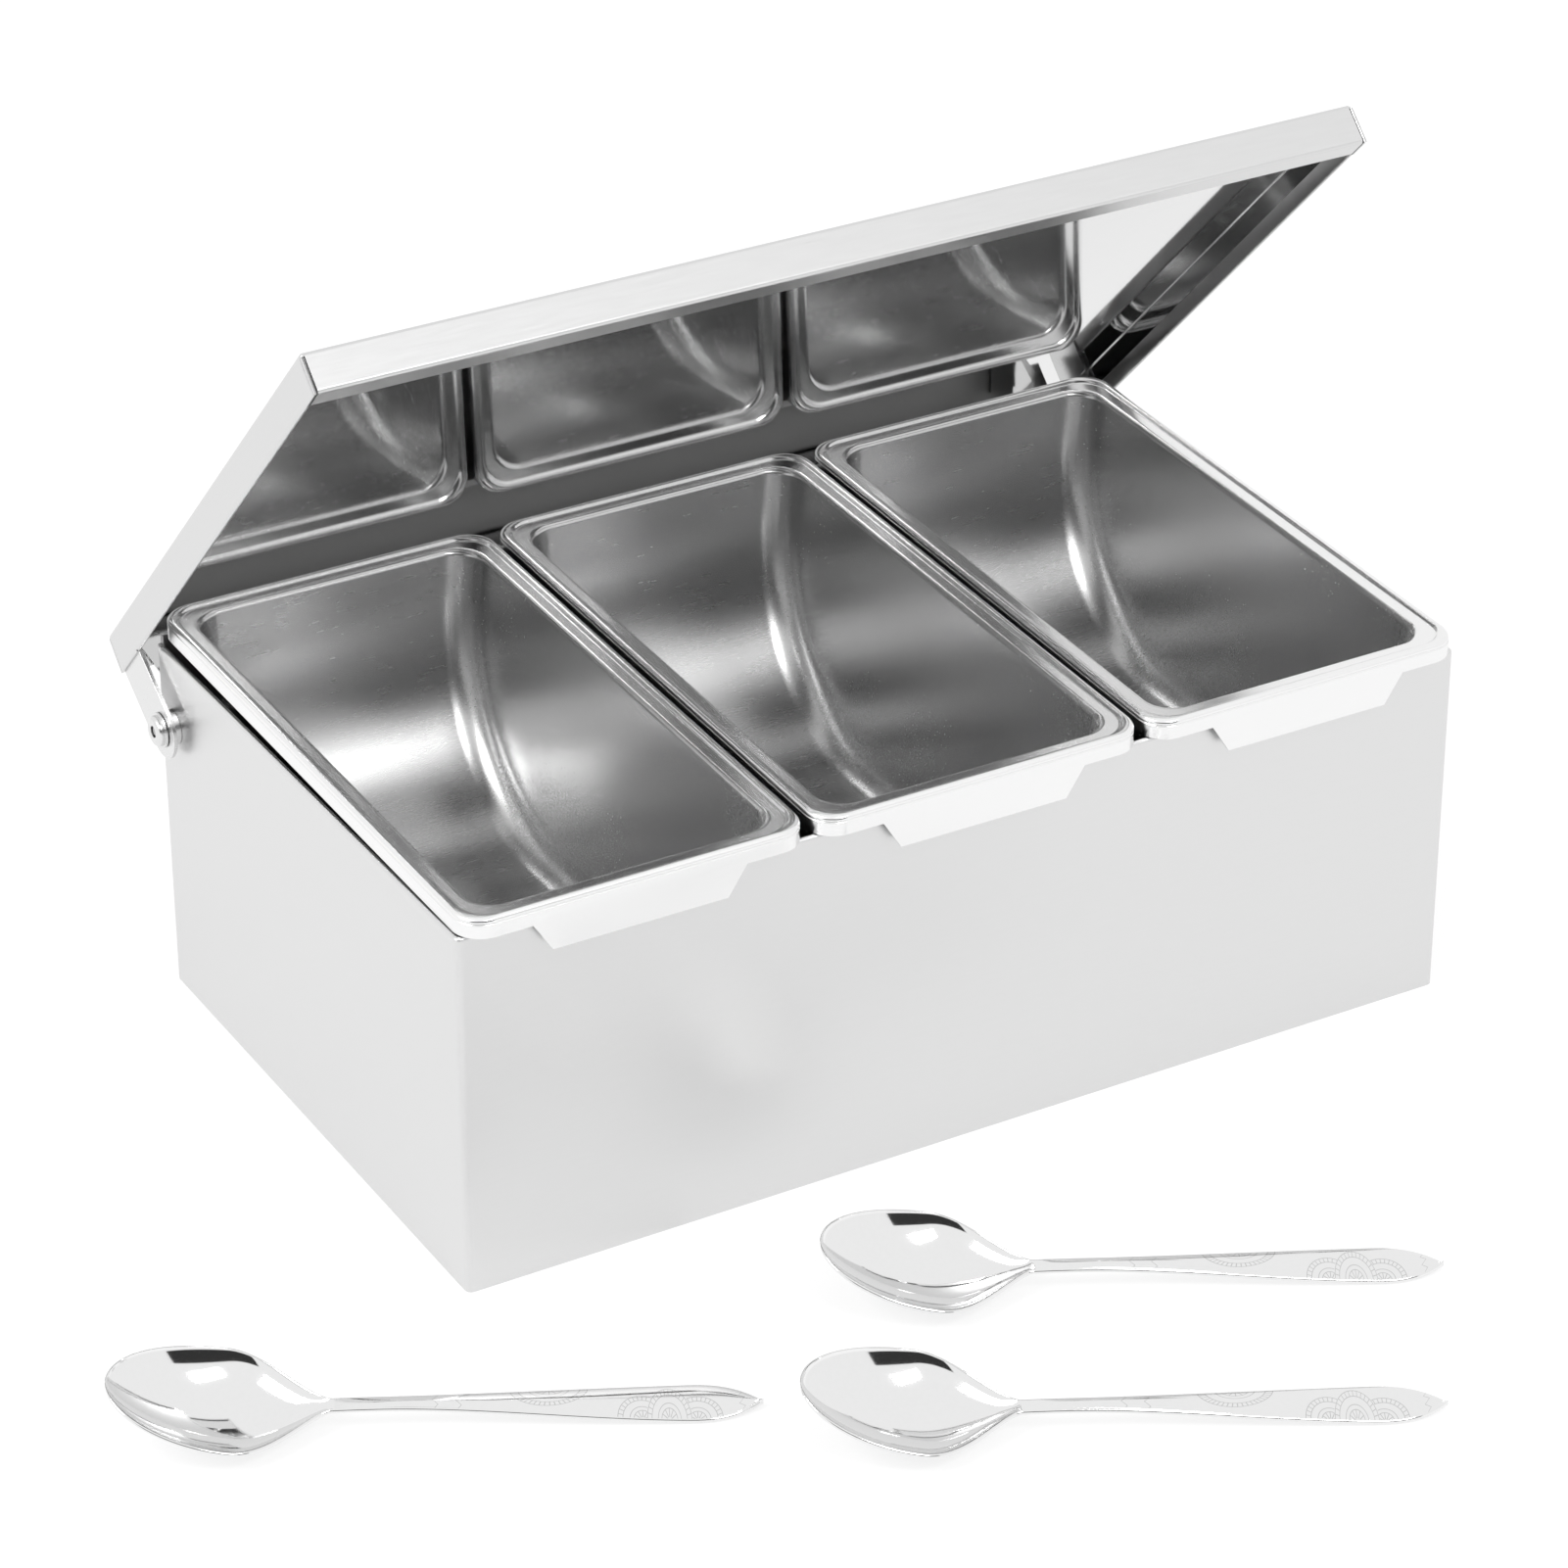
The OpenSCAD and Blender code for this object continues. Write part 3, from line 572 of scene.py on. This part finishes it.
def pan_patches(g):
    """One pan about its own frame: loops run from the skirt over the bead and lip, down the walls and
    round the end sweeps to the bottom."""
    L = (g.back - g.front) / math.cos(math.atan(g.rise))
    outer = rim_profile(g)
    inner = offset(outer, -g.sheet)
    top = g.depth - g.sweep - g.lip
    stations = [(0, top), (0, top * 0.5)] + [(a, 0) for a in np.linspace(0, 90, 46)]
    split = len(outer) - 5

    def course(prof, thick):
        rim = [rim_loop(g, L, x, z) for x, z in prof]
        tub = [tub_loop(g, L, a, d, thick) for a, d in stations]
        return rim, tub
    rim, tub = course(outer, 0.0)
    rim2, tub2 = course(inner, g.sheet)
    # Material 1, the lighter copy, is a painted highlight on the skirt, bead, flat rim and tab; material 0, the
    # darker copy, is painted shade on the lip, walls and bottom.
    made = [patch(np.array(rim[:split + 1]), 1, closed_v=True, flip=True),
            patch(np.array(rim[split:] + tub), 0, closed_v=True, flip=True),
            patch(np.array(rim2 + tub2), 0, closed_v=True),
            patch(np.array([rim[0], rim2[0]]), 1, closed_v=True)]
    n = len(tub[-1]) // 2
    for last, flip in ((tub[-1], False), (tub2[-1], True)):
        made.append(patch(np.stack([last[:n], last[n:][::-1]]), 0, flip=flip))
    w1, w0, h, t = g.tab_top / 2, g.tab_low / 2, g.tab_height, g.sheet
    z = -g.skirt
    tab = np.array([(-w1, z), (-w0, z - h), (w0, z - h), (w1, z)])
    face = np.array([(x, 0.0, zz) for x, zz in tab])
    back = face + [0, t, 0]
    made += [cap(face, 1), cap(back, 0, flip=True)]
    made.append(patch(np.stack([face, back]), 1, flip=False))
    return made


def place_pan(patches, g, i):
    """Moves a pan's patches to its place: along X by its number, and up towards the back."""
    s = math.atan(g.rise)
    c, n = math.cos(s), math.sin(s)
    made = []
    for p in patches:
        P = p["P"]
        Q = np.empty_like(P)
        Q[..., 0] = P[..., 0] + (i - 1) * g.pitch
        Q[..., 1] = g.front + P[..., 1] * c - P[..., 2] * n
        Q[..., 2] = g.top + P[..., 1] * n + P[..., 2] * c
        made.append({**p, "P": Q})
    return made


# ---- lid

def lid_place(patches, g):
    """From the lid's level frame about the pivot to its place in the scene."""
    a = -g.opening
    c, n = math.cos(a), math.sin(a)
    made = []
    for p in patches:
        P = p["P"]
        Q = np.empty_like(P)
        Q[..., 0] = P[..., 0]
        Q[..., 1] = g.pivot_y + P[..., 1] * c - P[..., 2] * n
        Q[..., 2] = g.pivot_z + P[..., 1] * n + P[..., 2] * c
        made.append({**p, "P": Q})
    return made


def lid_box(g):
    """The lid shell's sizes in its level frame, taken back from the placed CAD node."""
    co = np.array([v.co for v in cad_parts["lid_shell"].data.vertices], float)
    a = g.opening
    c, n = math.cos(a), math.sin(a)
    y, z = co[:, 1] - g.pivot_y, co[:, 2] - g.pivot_z
    Y, Z = y * c - z * n, y * n + z * c
    return np.abs(co[:, 0]).max(), Y.min(), Y.max(), Z.min(), Z.max()


def lid_patches(g):
    """Top, bends and skirts of the lid as bent sheets, with the turned-in front strip, the flat folds
    in the side skirts and small round corners."""
    hx, y0, y1, z0, z1 = lid_box(g)
    t, R = g.sheet, g.bend
    made = []
    zs = z1 - g.skirt
    rear_half = hx - t - 0.0012 - 0.0045
    ya, yb = y0 + R, y1 - R
    # sides: skirt, bend, top, bend, skirt
    def side(low):
        return rows([(hx, low)], arc(hx - R, z1 - R, R, 0, 90, 8), arc(-hx + R, z1 - R, R, 90, 180, 8), [(-hx, low)])
    made += sheet(lambda p: extrude_y(p, ya, yb), side(zs + t), t, 0, 1, ends=(False, False))
    # front: top edge, bend, skirt, bend, strip
    xa = hx - R
    front = rows(arc(y0 + R, z1 - R, R, 90, 180, 8), arc(y0 + R, zs + R, R, 180, 270, 8), [(y0 + g.turn_in, zs)])
    made += sheet(lambda p: extrude_x(p, -xa, xa), front, t, 0, 1, flip=True)
    # rear: top edge, bend, skirt
    rear = rows(arc(y1 - R, z1 - R, R, 90, 0, 8), [(y1, zs)])
    made += sheet(lambda p: extrude_x(p, -rear_half, rear_half), rear[::-1], t, 0, 1, flip=True)
    # round corners between the top and two bends
    for sx in (-1, 1):
        for cy, sy in ((y0 + R, -1), (y1 - R, 1)):
            u = np.radians(np.linspace(0, 90, 9))
            P = np.zeros((9, 9, 3))
            P[..., 0] = sx * (hx - R + R * np.cos(u)[None] * np.cos(u)[:, None])
            P[..., 1] = cy + sy * R * np.sin(u)[None] * np.cos(u)[:, None]
            P[..., 2] = z1 - R + R * np.sin(u)[:, None]
            made.append(patch(P, 0, flip=sx * sy > 0))
    # corner posts of the side skirts, in front of and behind the long bent sheet
    for sx in (-1, 1):
        for a, b in ((y0 + 0.0002, ya), (yb, y1 - 0.0002)):
            loop = [(sx * hx, a), (sx * (hx - t), a), (sx * (hx - t), b), (sx * hx, b)]
            ring = np.array(loop if sx < 0 else loop[::-1])
            P = np.stack([np.column_stack([ring, np.full(4, z)]) for z in (zs, z1 - R)])
            made.append(patch(P[:, [0, 1, 2, 3, 0]], 0, flip=True))
            made.append(cap(P[0], 0, flip=False))
    # folds: the lower edge of each side skirt, rounded and turned up inside
    fa, fb = y0 + g.turn_in + t, y1 - 0.0012 - 0.0168 - 0.0003
    for sx in (-1, 1):
        prof = rows([(hx, zs + t)], arc(hx - t, zs + t, t, 0, -180, 10), [(hx - 2 * t, zs + g.fold)], [(hx - t, zs + g.fold)])
        prof = prof * [sx, 1]
        made.append(patch(extrude_y(prof, fa, fb), 0, flip=sx < 0))
        for y, f in ((fa, sx < 0), (fb, sx > 0)):
            made.append(cap(extrude_y(prof, y, y)[0], 0, flip=f))
        for a, b in ((ya, fa), (fb, yb)):
            prof2 = np.array([(hx, zs + t), (hx, zs), (hx - t, zs), (hx - t, zs + t)]) * [sx, 1]
            made.append(patch(extrude_y(prof2, a, b), 0, flip=sx < 0))
    return made


def strip_patches(g):
    """The strip inside the rear skirt: a plate that narrows towards its free edge, with a rounded edge."""
    hx, y0, y1, z0, z1 = lid_box(g)
    t, half = g.sheet, hx - g.sheet - 0.0012 - 0.0045
    e = 0.0002
    prof = rows([(y1 - t, z1 - t)], [(y1 - t, z1 - g.strip + e)], [(y1 - t - e, z1 - g.strip)],
                [(y1 - 2 * t + e, z1 - g.strip)], [(y1 - 2 * t, z1 - g.strip + e)], [(y1 - 2 * t, z1 - t)])
    width = half - math.tan(g.strip_lean) * (z1 - t - prof[:, 1])
    P = np.stack([np.column_stack([s * width, prof]) for s in (-1, 1)])
    made = [patch(P[:, k:k + 2], 1 if k == 4 else 0) for k in range(5)]
    made += [cap(P[0], 0, flip=True), cap(P[1], 0)]
    return made


def arm_patches(g, sx):
    """A hinge arm: its outline in the lid's frame is a round end and two straight edges up to the
    sheet; both faces have a small chamfer."""
    hx, y0, y1, z0, z1 = lid_box(g)
    out_x, t, e, r = hx - g.sheet, 0.0012, 0.00012, 0.0086
    back, low, top = y1 - 0.0012, z1 - g.skirt, z1 - g.sheet
    frontx = back - 0.0168
    bottom = arc(0, 0, r, 0, -180, 40)
    outline = rows(bottom, [(frontx, low)], [(frontx, top)], [(back, top)], [(back, low)])
    centre = np.array([(0.0, 0.012)])
    inset = outline + (centre - outline) * (e / np.linalg.norm(outline - centre, axis=1))[:, None]
    rings = [(inset, out_x), (outline, out_x - e), (outline, out_x - t + e), (inset, out_x - t)]
    G = [np.column_stack([np.full(len(p), sx * x), p]) for p, x in rings]
    made = [patch(np.stack([G[k], G[k + 1]])[:, list(range(len(outline))) + [0]], 0, flip=sx > 0) for k in range(3)]
    made.append(cap(G[0], 0, flip=sx < 0))
    made.append(cap(G[-1], 0, flip=sx > 0))
    return made


def rivet_patches(g, sx):
    """Blind rivet, turned about the pivot line: tail inside, domed head outside with a sunk middle."""
    c = (0.0, g.pivot_y, g.pivot_z)
    hx = lid_box(g)[0]
    wl = hx - g.sheet + 0.00015
    hl = wl + 0.0008
    top = hl + 0.0019
    k = 0.0016
    prof = [(0.00175, top - 0.0009), (0.00175, top - 0.0002), (0.00175, top - 0.0002), (0.0021, top), (0.0031, top),
            *[(0.0031 + 0.0015 * math.sin(q), top - 0.0013 + 0.0013 * math.cos(q)) for q in np.linspace(0.15, math.pi / 2, 8)],
            (0.0046, hl), (0.0046, hl), (0.0024, hl), (0.0024, hl), (0.0024, 0.155)]
    tail = [(0.0024, 0.1582), (0.0037, 0.1582), (0.0037, 0.1582), (0.0037, 0.1556), (0.0032, 0.1552), (0.0032, 0.1552), (0.0, 0.1552)]
    return turned(prof, c, sx) + turned(tail, c, sx)


def pin_patches(g, sx):
    """What is left of the pulled pin: a rough broken end in the middle of the rivet, coloured dark as painted shade
    for the rivet's middle hole.
    """
    c = (0.0, g.pivot_y, g.pivot_z)
    top = lid_box(g)[0] - g.sheet + 0.00015 + 0.0008 + 0.0019
    prof = [(0.0, top - 0.0008), (0.0007, top - 0.00075), (0.0011, top - 0.0006), (0.0011, top - 0.0006), (0.0011, 0.1546),
            (0.0011, 0.1546), (0.0, 0.1546)]
    return turned(prof, c, sx)


def ring_patches(g, sx, low, high, r=0.0053, bore=0.00245):
    """Washer or spacer with softened edges."""
    c = (0.0, g.pivot_y, g.pivot_z)
    e = min(0.00015, (high - low) / 4)
    prof = [(bore, high), (r - e, high), (r - e * 0.3, high - e * 0.3), (r, high - e), (r, low + e), (r - e, low), (bore, low)]
    return turned(prof, c, sx)


# ---- spoons

def ease(t):
    c = np.clip(t, 0, 1)
    return c * c * (3 - 2 * c)


def spoon_half(g, u):
    """Half width at u from the bowl's tip: half ellipse, round fall to the neck, swell, leaf point."""
    bowl = g.bowl_half * np.sqrt(np.clip(1 - (1 - np.minimum(u, g.bowl_wide) / g.bowl_wide) ** 2, 0, 1))
    s = np.clip((u - g.bowl_wide) / (g.neck_at - g.bowl_wide), 0, 1)
    fall = g.neck_half + (g.bowl_half - g.neck_half) * ((1 + np.cos(np.pi * s)) / 2) ** 0.7
    swell = g.neck_half + (g.handle_half - g.neck_half) * ease((u - 1.2 * g.neck_at) / (0.94 * g.length - 1.2 * g.neck_at))
    tip = np.clip((u - g.length + g.point) / g.point, 0, 1)
    return np.where(u < g.bowl_wide, bowl, np.where(u < g.neck_at, fall, swell * (1 - tip ** 2.8)))


def spoon_dish(g, u):
    bowl = g.bowl_depth * np.sin(np.pi * np.clip(u / g.neck_at, 0, 1) ** 0.8) ** 0.9
    return np.where(u < g.neck_at, bowl, -0.0005 * ease((u - g.neck_at) / 0.020))


def spoon_edge(g, u):
    return (g.neck_z - g.handle_fall * ease((u - g.neck_at) / (g.length - g.neck_at))
            + g.bowl_rise * np.clip(1 - u / (0.9 * g.neck_at), 0, 1) ** 1.45)


def spoon_patches(g):
    """One spoon along X from its bowl's tip, cross-sections closed by round edges."""
    n_u, n_v, n_e = 420, 41, 6
    s = np.linspace(0, 1, n_u)
    u = g.length * (0.5 - 0.5 * np.cos(np.pi * (0.012 + 0.976 * s)))
    w = spoon_half(g, u)
    r = np.minimum(g.metal / 2, w * 0.6)
    wi = w - r
    v = np.linspace(-1, 1, n_v)
    y = wi[:, None] * np.sin(np.pi / 2 * v)[None]
    z = spoon_edge(g, u)[:, None] - spoon_dish(g, u)[:, None] * np.cos(np.pi / 2 * v)[None].clip(0) ** 1.6
    q = np.linspace(0, 1, n_e + 2)[1:-1] * np.pi
    edge_y = wi[:, None] + r[:, None] * np.sin(q)[None]
    edge_z = spoon_edge(g, u)[:, None] - g.metal / 2 + (g.metal / 2) * np.cos(q)[None]
    Y = np.hstack([y, edge_y, y[:, ::-1], -edge_y[:, ::-1]])
    Z = np.hstack([z, edge_z, z[:, ::-1] - g.metal, edge_z[:, ::-1]])
    P = np.stack([np.repeat(u[:, None], Y.shape[1], 1), Y, Z], -1)
    made = [patch(P, 0, closed_v=True, flip=True), cap(P[0], 0, flip=False), cap(P[-1], 0, flip=True)]
    up = np.zeros(Y.shape)
    up[:, :n_v] = 1
    along = np.repeat(u[:, None], Y.shape[1], 1)
    wide = np.repeat(w[:, None], Y.shape[1], 1)
    fields = {}
    for key, F in (("along", along), ("far", wide - Y), ("near", wide + Y), ("upper", up / 1000)):
        fields[key] = 1000 * np.concatenate([F.ravel(), F[0], F[-1]])
    return made, fields


SPOONS = {"left": (-0.1104, -0.0109), "right": (0.0450, -0.1012), "rear": (0.0817, -0.0484)}


def place_spoon(patches, g, at):
    """Rolls a spoon about its axis, turns it and sets its lowest point just above the floor."""
    a, b = g.turn, g.roll
    lowest = min((p["P"][..., 1] * math.sin(b) + p["P"][..., 2] * math.cos(b)).min() for p in patches)
    made = []
    for p in patches:
        P = p["P"]
        y = P[..., 1] * math.cos(b) - P[..., 2] * math.sin(b)
        z = P[..., 1] * math.sin(b) + P[..., 2] * math.cos(b)
        Q = np.empty_like(P)
        Q[..., 0] = at[0] - 0.160 + P[..., 0] * math.cos(a) - y * math.sin(a)
        Q[..., 1] = at[1] - 0.0945 + P[..., 0] * math.sin(a) + y * math.cos(a)
        Q[..., 2] = z + g.seat - lowest
        made.append({**p, "P": Q})
    return made


# ---- stage

TARGET = np.array([0.0, 0.0, 0.10])
CARDS = (
    ("card_front", (-1.00, -2.60, 1.05), (4.6, 1.5), 0.04),
)
LAMPS = (
    ("softbox_left", (-1.7, -0.2, 1.7), (1.0, 0.9), 22.0),
    ("softbox_front", (0.2, -1.9, 2.1), (0.9, 0.6), 20.0),
)


def facing(centre):
    """Axes of a panel at centre that faces the object: its two sides and the way it looks."""
    look = TARGET - np.asarray(centre, float)
    look /= np.linalg.norm(look)
    side = np.cross(look, (0, 0, 1.0))
    side /= np.linalg.norm(side)
    return side, np.cross(side, look), look


def card(name, centre, size, shade):
    """A dark studio card that faces the object. It shows in the metal and not to the camera."""
    side, top, look = facing(centre)
    c, a, b = np.asarray(centre, float), side * size[0] / 2, top * size[1] / 2
    mesh = bpy.data.meshes.new(name)
    mesh.from_pydata([(c - a - b).tolist(), (c + a - b).tolist(), (c + a + b).tolist(), (c - a + b).tolist()], [], [(0, 1, 2, 3)])
    obj = bpy.data.objects.new(name, mesh)
    bpy.context.scene.collection.objects.link(obj)
    obj.visible_camera = False
    obj.visible_shadow = False
    obj.visible_diffuse = False
    m = bpy.data.materials.new(name)
    m.use_nodes = True
    t = m.node_tree
    t.nodes.clear()
    out = node(t, "ShaderNodeOutputMaterial")
    glow = node(t, "ShaderNodeEmission")
    glow.inputs["Color"].default_value = (shade, shade, shade, 1)
    t.links.new(glow.outputs[0], out.inputs[0])
    mesh.materials.append(m)


def softbox(name, centre, size, power):
    """A soft area lamp that faces the object."""
    side, top, look = facing(centre)
    data = bpy.data.lights.new(name, "AREA")
    data.shape = "RECTANGLE"
    data.size, data.size_y = size
    data.energy = power
    obj = bpy.data.objects.new(name, data)
    m = np.eye(4)
    m[:3, 0], m[:3, 1], m[:3, 2], m[:3, 3] = side, top, -look, centre
    obj.matrix_world = mathutils.Matrix(m.tolist())
    obj.visible_camera = False
    bpy.context.scene.collection.objects.link(obj)


# ---- operators

class CADDY_OT_box(bpy.types.Operator):
    """Folded box wall, and finishes for the back panel and the bottom plate"""
    bl_idname = "caddy.box"
    bl_label = "Box"

    def execute(self, context):
        F = finishes()
        build("box_wall", box_patches(context.scene.caddy_box), [F["box"]], "box", ["body_shell"])
        for name in ("back_panel", "bottom_plate"):
            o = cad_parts[name]
            o.data.materials.clear()
            o.data.materials.append(F["box"])
        return {"FINISHED"}


class CADDY_OT_pans(bpy.types.Operator):
    """The three lift-out pans with rolled rims and pull tabs"""
    bl_idname = "caddy.pans"
    bl_label = "Pans"

    def execute(self, context):
        F, g = finishes(), context.scene.caddy_pans
        made = pan_patches(g)
        for i, side in enumerate(("left", "middle", "right")):
            build(f"pan_{side}_skin", place_pan(made, g, i), [F["pan_in"], F["pan_rim"]], f"{side}_pan",
                  [f"pan_{side}"])
        return {"FINISHED"}


class CADDY_OT_lid(bpy.types.Operator):
    """The tray lid, satin outside and polished underneath"""
    bl_idname = "caddy.lid"
    bl_label = "Lid"

    def execute(self, context):
        F, g = finishes(), context.scene.caddy_lid
        build("lid_skin", lid_place(lid_patches(g), g), [F["lid_out"], F["lid_in"]], "lid", ["lid_shell"])
        build("rear_strip", lid_place(strip_patches(g), g), [F["lid_out"], F["lid_in"]], "lid", ["lid_rear_strip"])
        return {"FINISHED"}


class CADDY_OT_hinges(bpy.types.Operator):
    """Arms, rivets, washers and spacers on both sides"""
    bl_idname = "caddy.hinges"
    bl_label = "Hinges"

    def execute(self, context):
        F, g = finishes(), context.scene.caddy_lid
        hx = lid_box(g)[0]
        for side, sx in (("left", -1), ("right", 1)):
            build(f"arm_{side}", lid_place(arm_patches(g, sx), g), [F["hinge"]], "lid", [f"hinge_arm_{side}"])
            build(f"rivet_{side}_turned", rivet_patches(g, sx), [F["hinge"]], "box", [f"rivet_{side}"])
            build(f"pin_{side}", pin_patches(g, sx), [F["pin"]], "box", [f"rivet_pin_{side}"])
            low = hx - g.sheet + 0.00015
            build(f"washer_{side}", ring_patches(g, sx, low, low + 0.0008), [F["hinge"]], "box",
                  [f"outer_washer_{side}"])
            build(f"spacer_{side}_ring", ring_patches(g, sx, 0.160, hx - g.sheet - 0.0012 - 0.00015), [F["hinge"]], "box",
                  [f"spacer_{side}"])
            build(f"backing_{side}", ring_patches(g, sx, 0.1582, 0.1590), [F["hinge"]], "box",
                  [f"backing_washer_{side}"])
        return {"FINISHED"}


class CADDY_OT_spoons(bpy.types.Operator):
    """The three loose spoons with engraved handles"""
    bl_idname = "caddy.spoons"
    bl_label = "Spoons"

    def execute(self, context):
        F, g = finishes(), context.scene.caddy_spoons
        made, fields = spoon_patches(g)
        for name, at in SPOONS.items():
            build(f"spoon_{name}_cast", place_spoon(made, g, at), [F["spoon"]], f"{name}_spoon", [f"spoon_{name}"],
                  fields)
        return {"FINISHED"}


class CADDY_OT_stage(bpy.types.Operator):
    """Camera at the photograph's angle, white surroundings and a pale floor"""
    bl_idname = "caddy.stage"
    bl_label = "Stage"

    def execute(self, context):
        g = context.scene.caddy_stage
        scene = context.scene
        scene.view_settings.view_transform = "Standard"
        cam = bpy.data.objects.new("camera", bpy.data.cameras.new("camera"))
        scene.collection.objects.link(cam)
        cam.data.sensor_width = 36.0
        cam.data.lens = g.lens
        cam.data.shift_x, cam.data.shift_y = g.shift_x, g.shift_y
        cam.data.clip_start, cam.data.clip_end = 0.05, 50.0
        right = np.array([0.866546, -0.499098, -0.000295])
        up = np.array([0.246396, 0.427283, 0.869896])
        back = np.array([-0.434037, -0.753877, 0.493236])
        m = np.eye(4)
        m[:3, 0], m[:3, 1], m[:3, 2], m[:3, 3] = right, up, back, (-0.705097, -1.215865, 0.868955)
        cam.matrix_world = mathutils.Matrix(m.tolist())
        scene.camera = cam
        # world
        world = bpy.data.worlds.new("surroundings")
        scene.world = world
        world.use_nodes = True
        t = world.node_tree
        t.nodes.clear()
        out = node(t, "ShaderNodeOutputWorld")
        bg = node(t, "ShaderNodeBackground")
        bg.inputs["Color"].default_value = (1, 1, 1, 1)
        bg.inputs["Strength"].default_value = g.world
        t.links.new(bg.outputs[0], out.inputs[0])
        for name, centre, size, shade in CARDS:
            card(name, centre, size, shade)
        for name, centre, size, power in LAMPS:
            softbox(name, centre, size, power)
        # floor
        mesh = bpy.data.meshes.new("floor")
        s = 8.0
        mesh.from_pydata([(-s, -s, 0), (s, -s, 0), (s, s, 0), (-s, s, 0)], [], [(0, 1, 2, 3)])
        floor = bpy.data.objects.new("floor", mesh)
        scene.collection.objects.link(floor)
        m = bpy.data.materials.new("floor_paper")
        m.use_nodes = True
        t = m.node_tree
        t.nodes.clear()
        out = node(t, "ShaderNodeOutputMaterial")
        dif = node(t, "ShaderNodeBsdfDiffuse")
        dif.inputs["Color"].default_value = (0.98, 0.98, 0.98, 1)
        glow = node(t, "ShaderNodeEmission")
        glow.inputs["Strength"].default_value = 1.0
        path = node(t, "ShaderNodeLightPath")
        a = node(t, "ShaderNodeMath", operation="MAXIMUM")
        b = node(t, "ShaderNodeMath", operation="MAXIMUM")
        f = node(t, "ShaderNodeMath", operation="MULTIPLY")
        f.inputs[1].default_value = 0.75
        t.links.new(path.outputs["Is Camera Ray"], a.inputs[0])
        t.links.new(path.outputs["Is Glossy Ray"], a.inputs[1])
        t.links.new(a.outputs[0], b.inputs[0])
        t.links.new(path.outputs["Is Transmission Ray"], b.inputs[1])
        t.links.new(b.outputs[0], f.inputs[0])
        mix = node(t, "ShaderNodeMixShader")
        t.links.new(f.outputs[0], mix.inputs[0])
        t.links.new(dif.outputs[0], mix.inputs[1])
        t.links.new(glow.outputs[0], mix.inputs[2])
        t.links.new(mix.outputs[0], out.inputs[0])
        mesh.materials.append(m)
        return {"FINISHED"}


OPERATORS = (CADDY_OT_box, CADDY_OT_pans, CADDY_OT_lid, CADDY_OT_hinges, CADDY_OT_spoons, CADDY_OT_stage)
GROUPS = {"caddy_box": CaddyBox, "caddy_pans": CaddyPans, "caddy_lid": CaddyLid, "caddy_spoons": CaddySpoons,
          "caddy_stage": CaddyStage}


class CADDY_PT_panel(bpy.types.Panel):
    """Lists the caddy's steps"""
    bl_idname = "CADDY_PT_panel"
    bl_label = "Caddy"
    bl_space_type = "VIEW_3D"
    bl_region_type = "UI"
    bl_category = "Caddy"

    def draw(self, context):
        for op in OPERATORS:
            self.layout.operator(op.bl_idname)


def register():
    for c in (*GROUPS.values(), *OPERATORS, CADDY_PT_panel):
        bpy.utils.register_class(c)
    for name, group in GROUPS.items():
        setattr(bpy.types.Scene, name, bpy.props.PointerProperty(type=group))


def unregister():
    for name in GROUPS:
        delattr(bpy.types.Scene, name)
    for c in reversed((*GROUPS.values(), *OPERATORS, CADDY_PT_panel)):
        bpy.utils.unregister_class(c)


def main():
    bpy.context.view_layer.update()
    register()
    for step in (bpy.ops.caddy.box, bpy.ops.caddy.pans, bpy.ops.caddy.lid, bpy.ops.caddy.hinges, bpy.ops.caddy.spoons,
                 bpy.ops.caddy.stage):
        if step() != {"FINISHED"}:
            raise RuntimeError("a step did not finish")


if __name__ == "__main__":
    main()
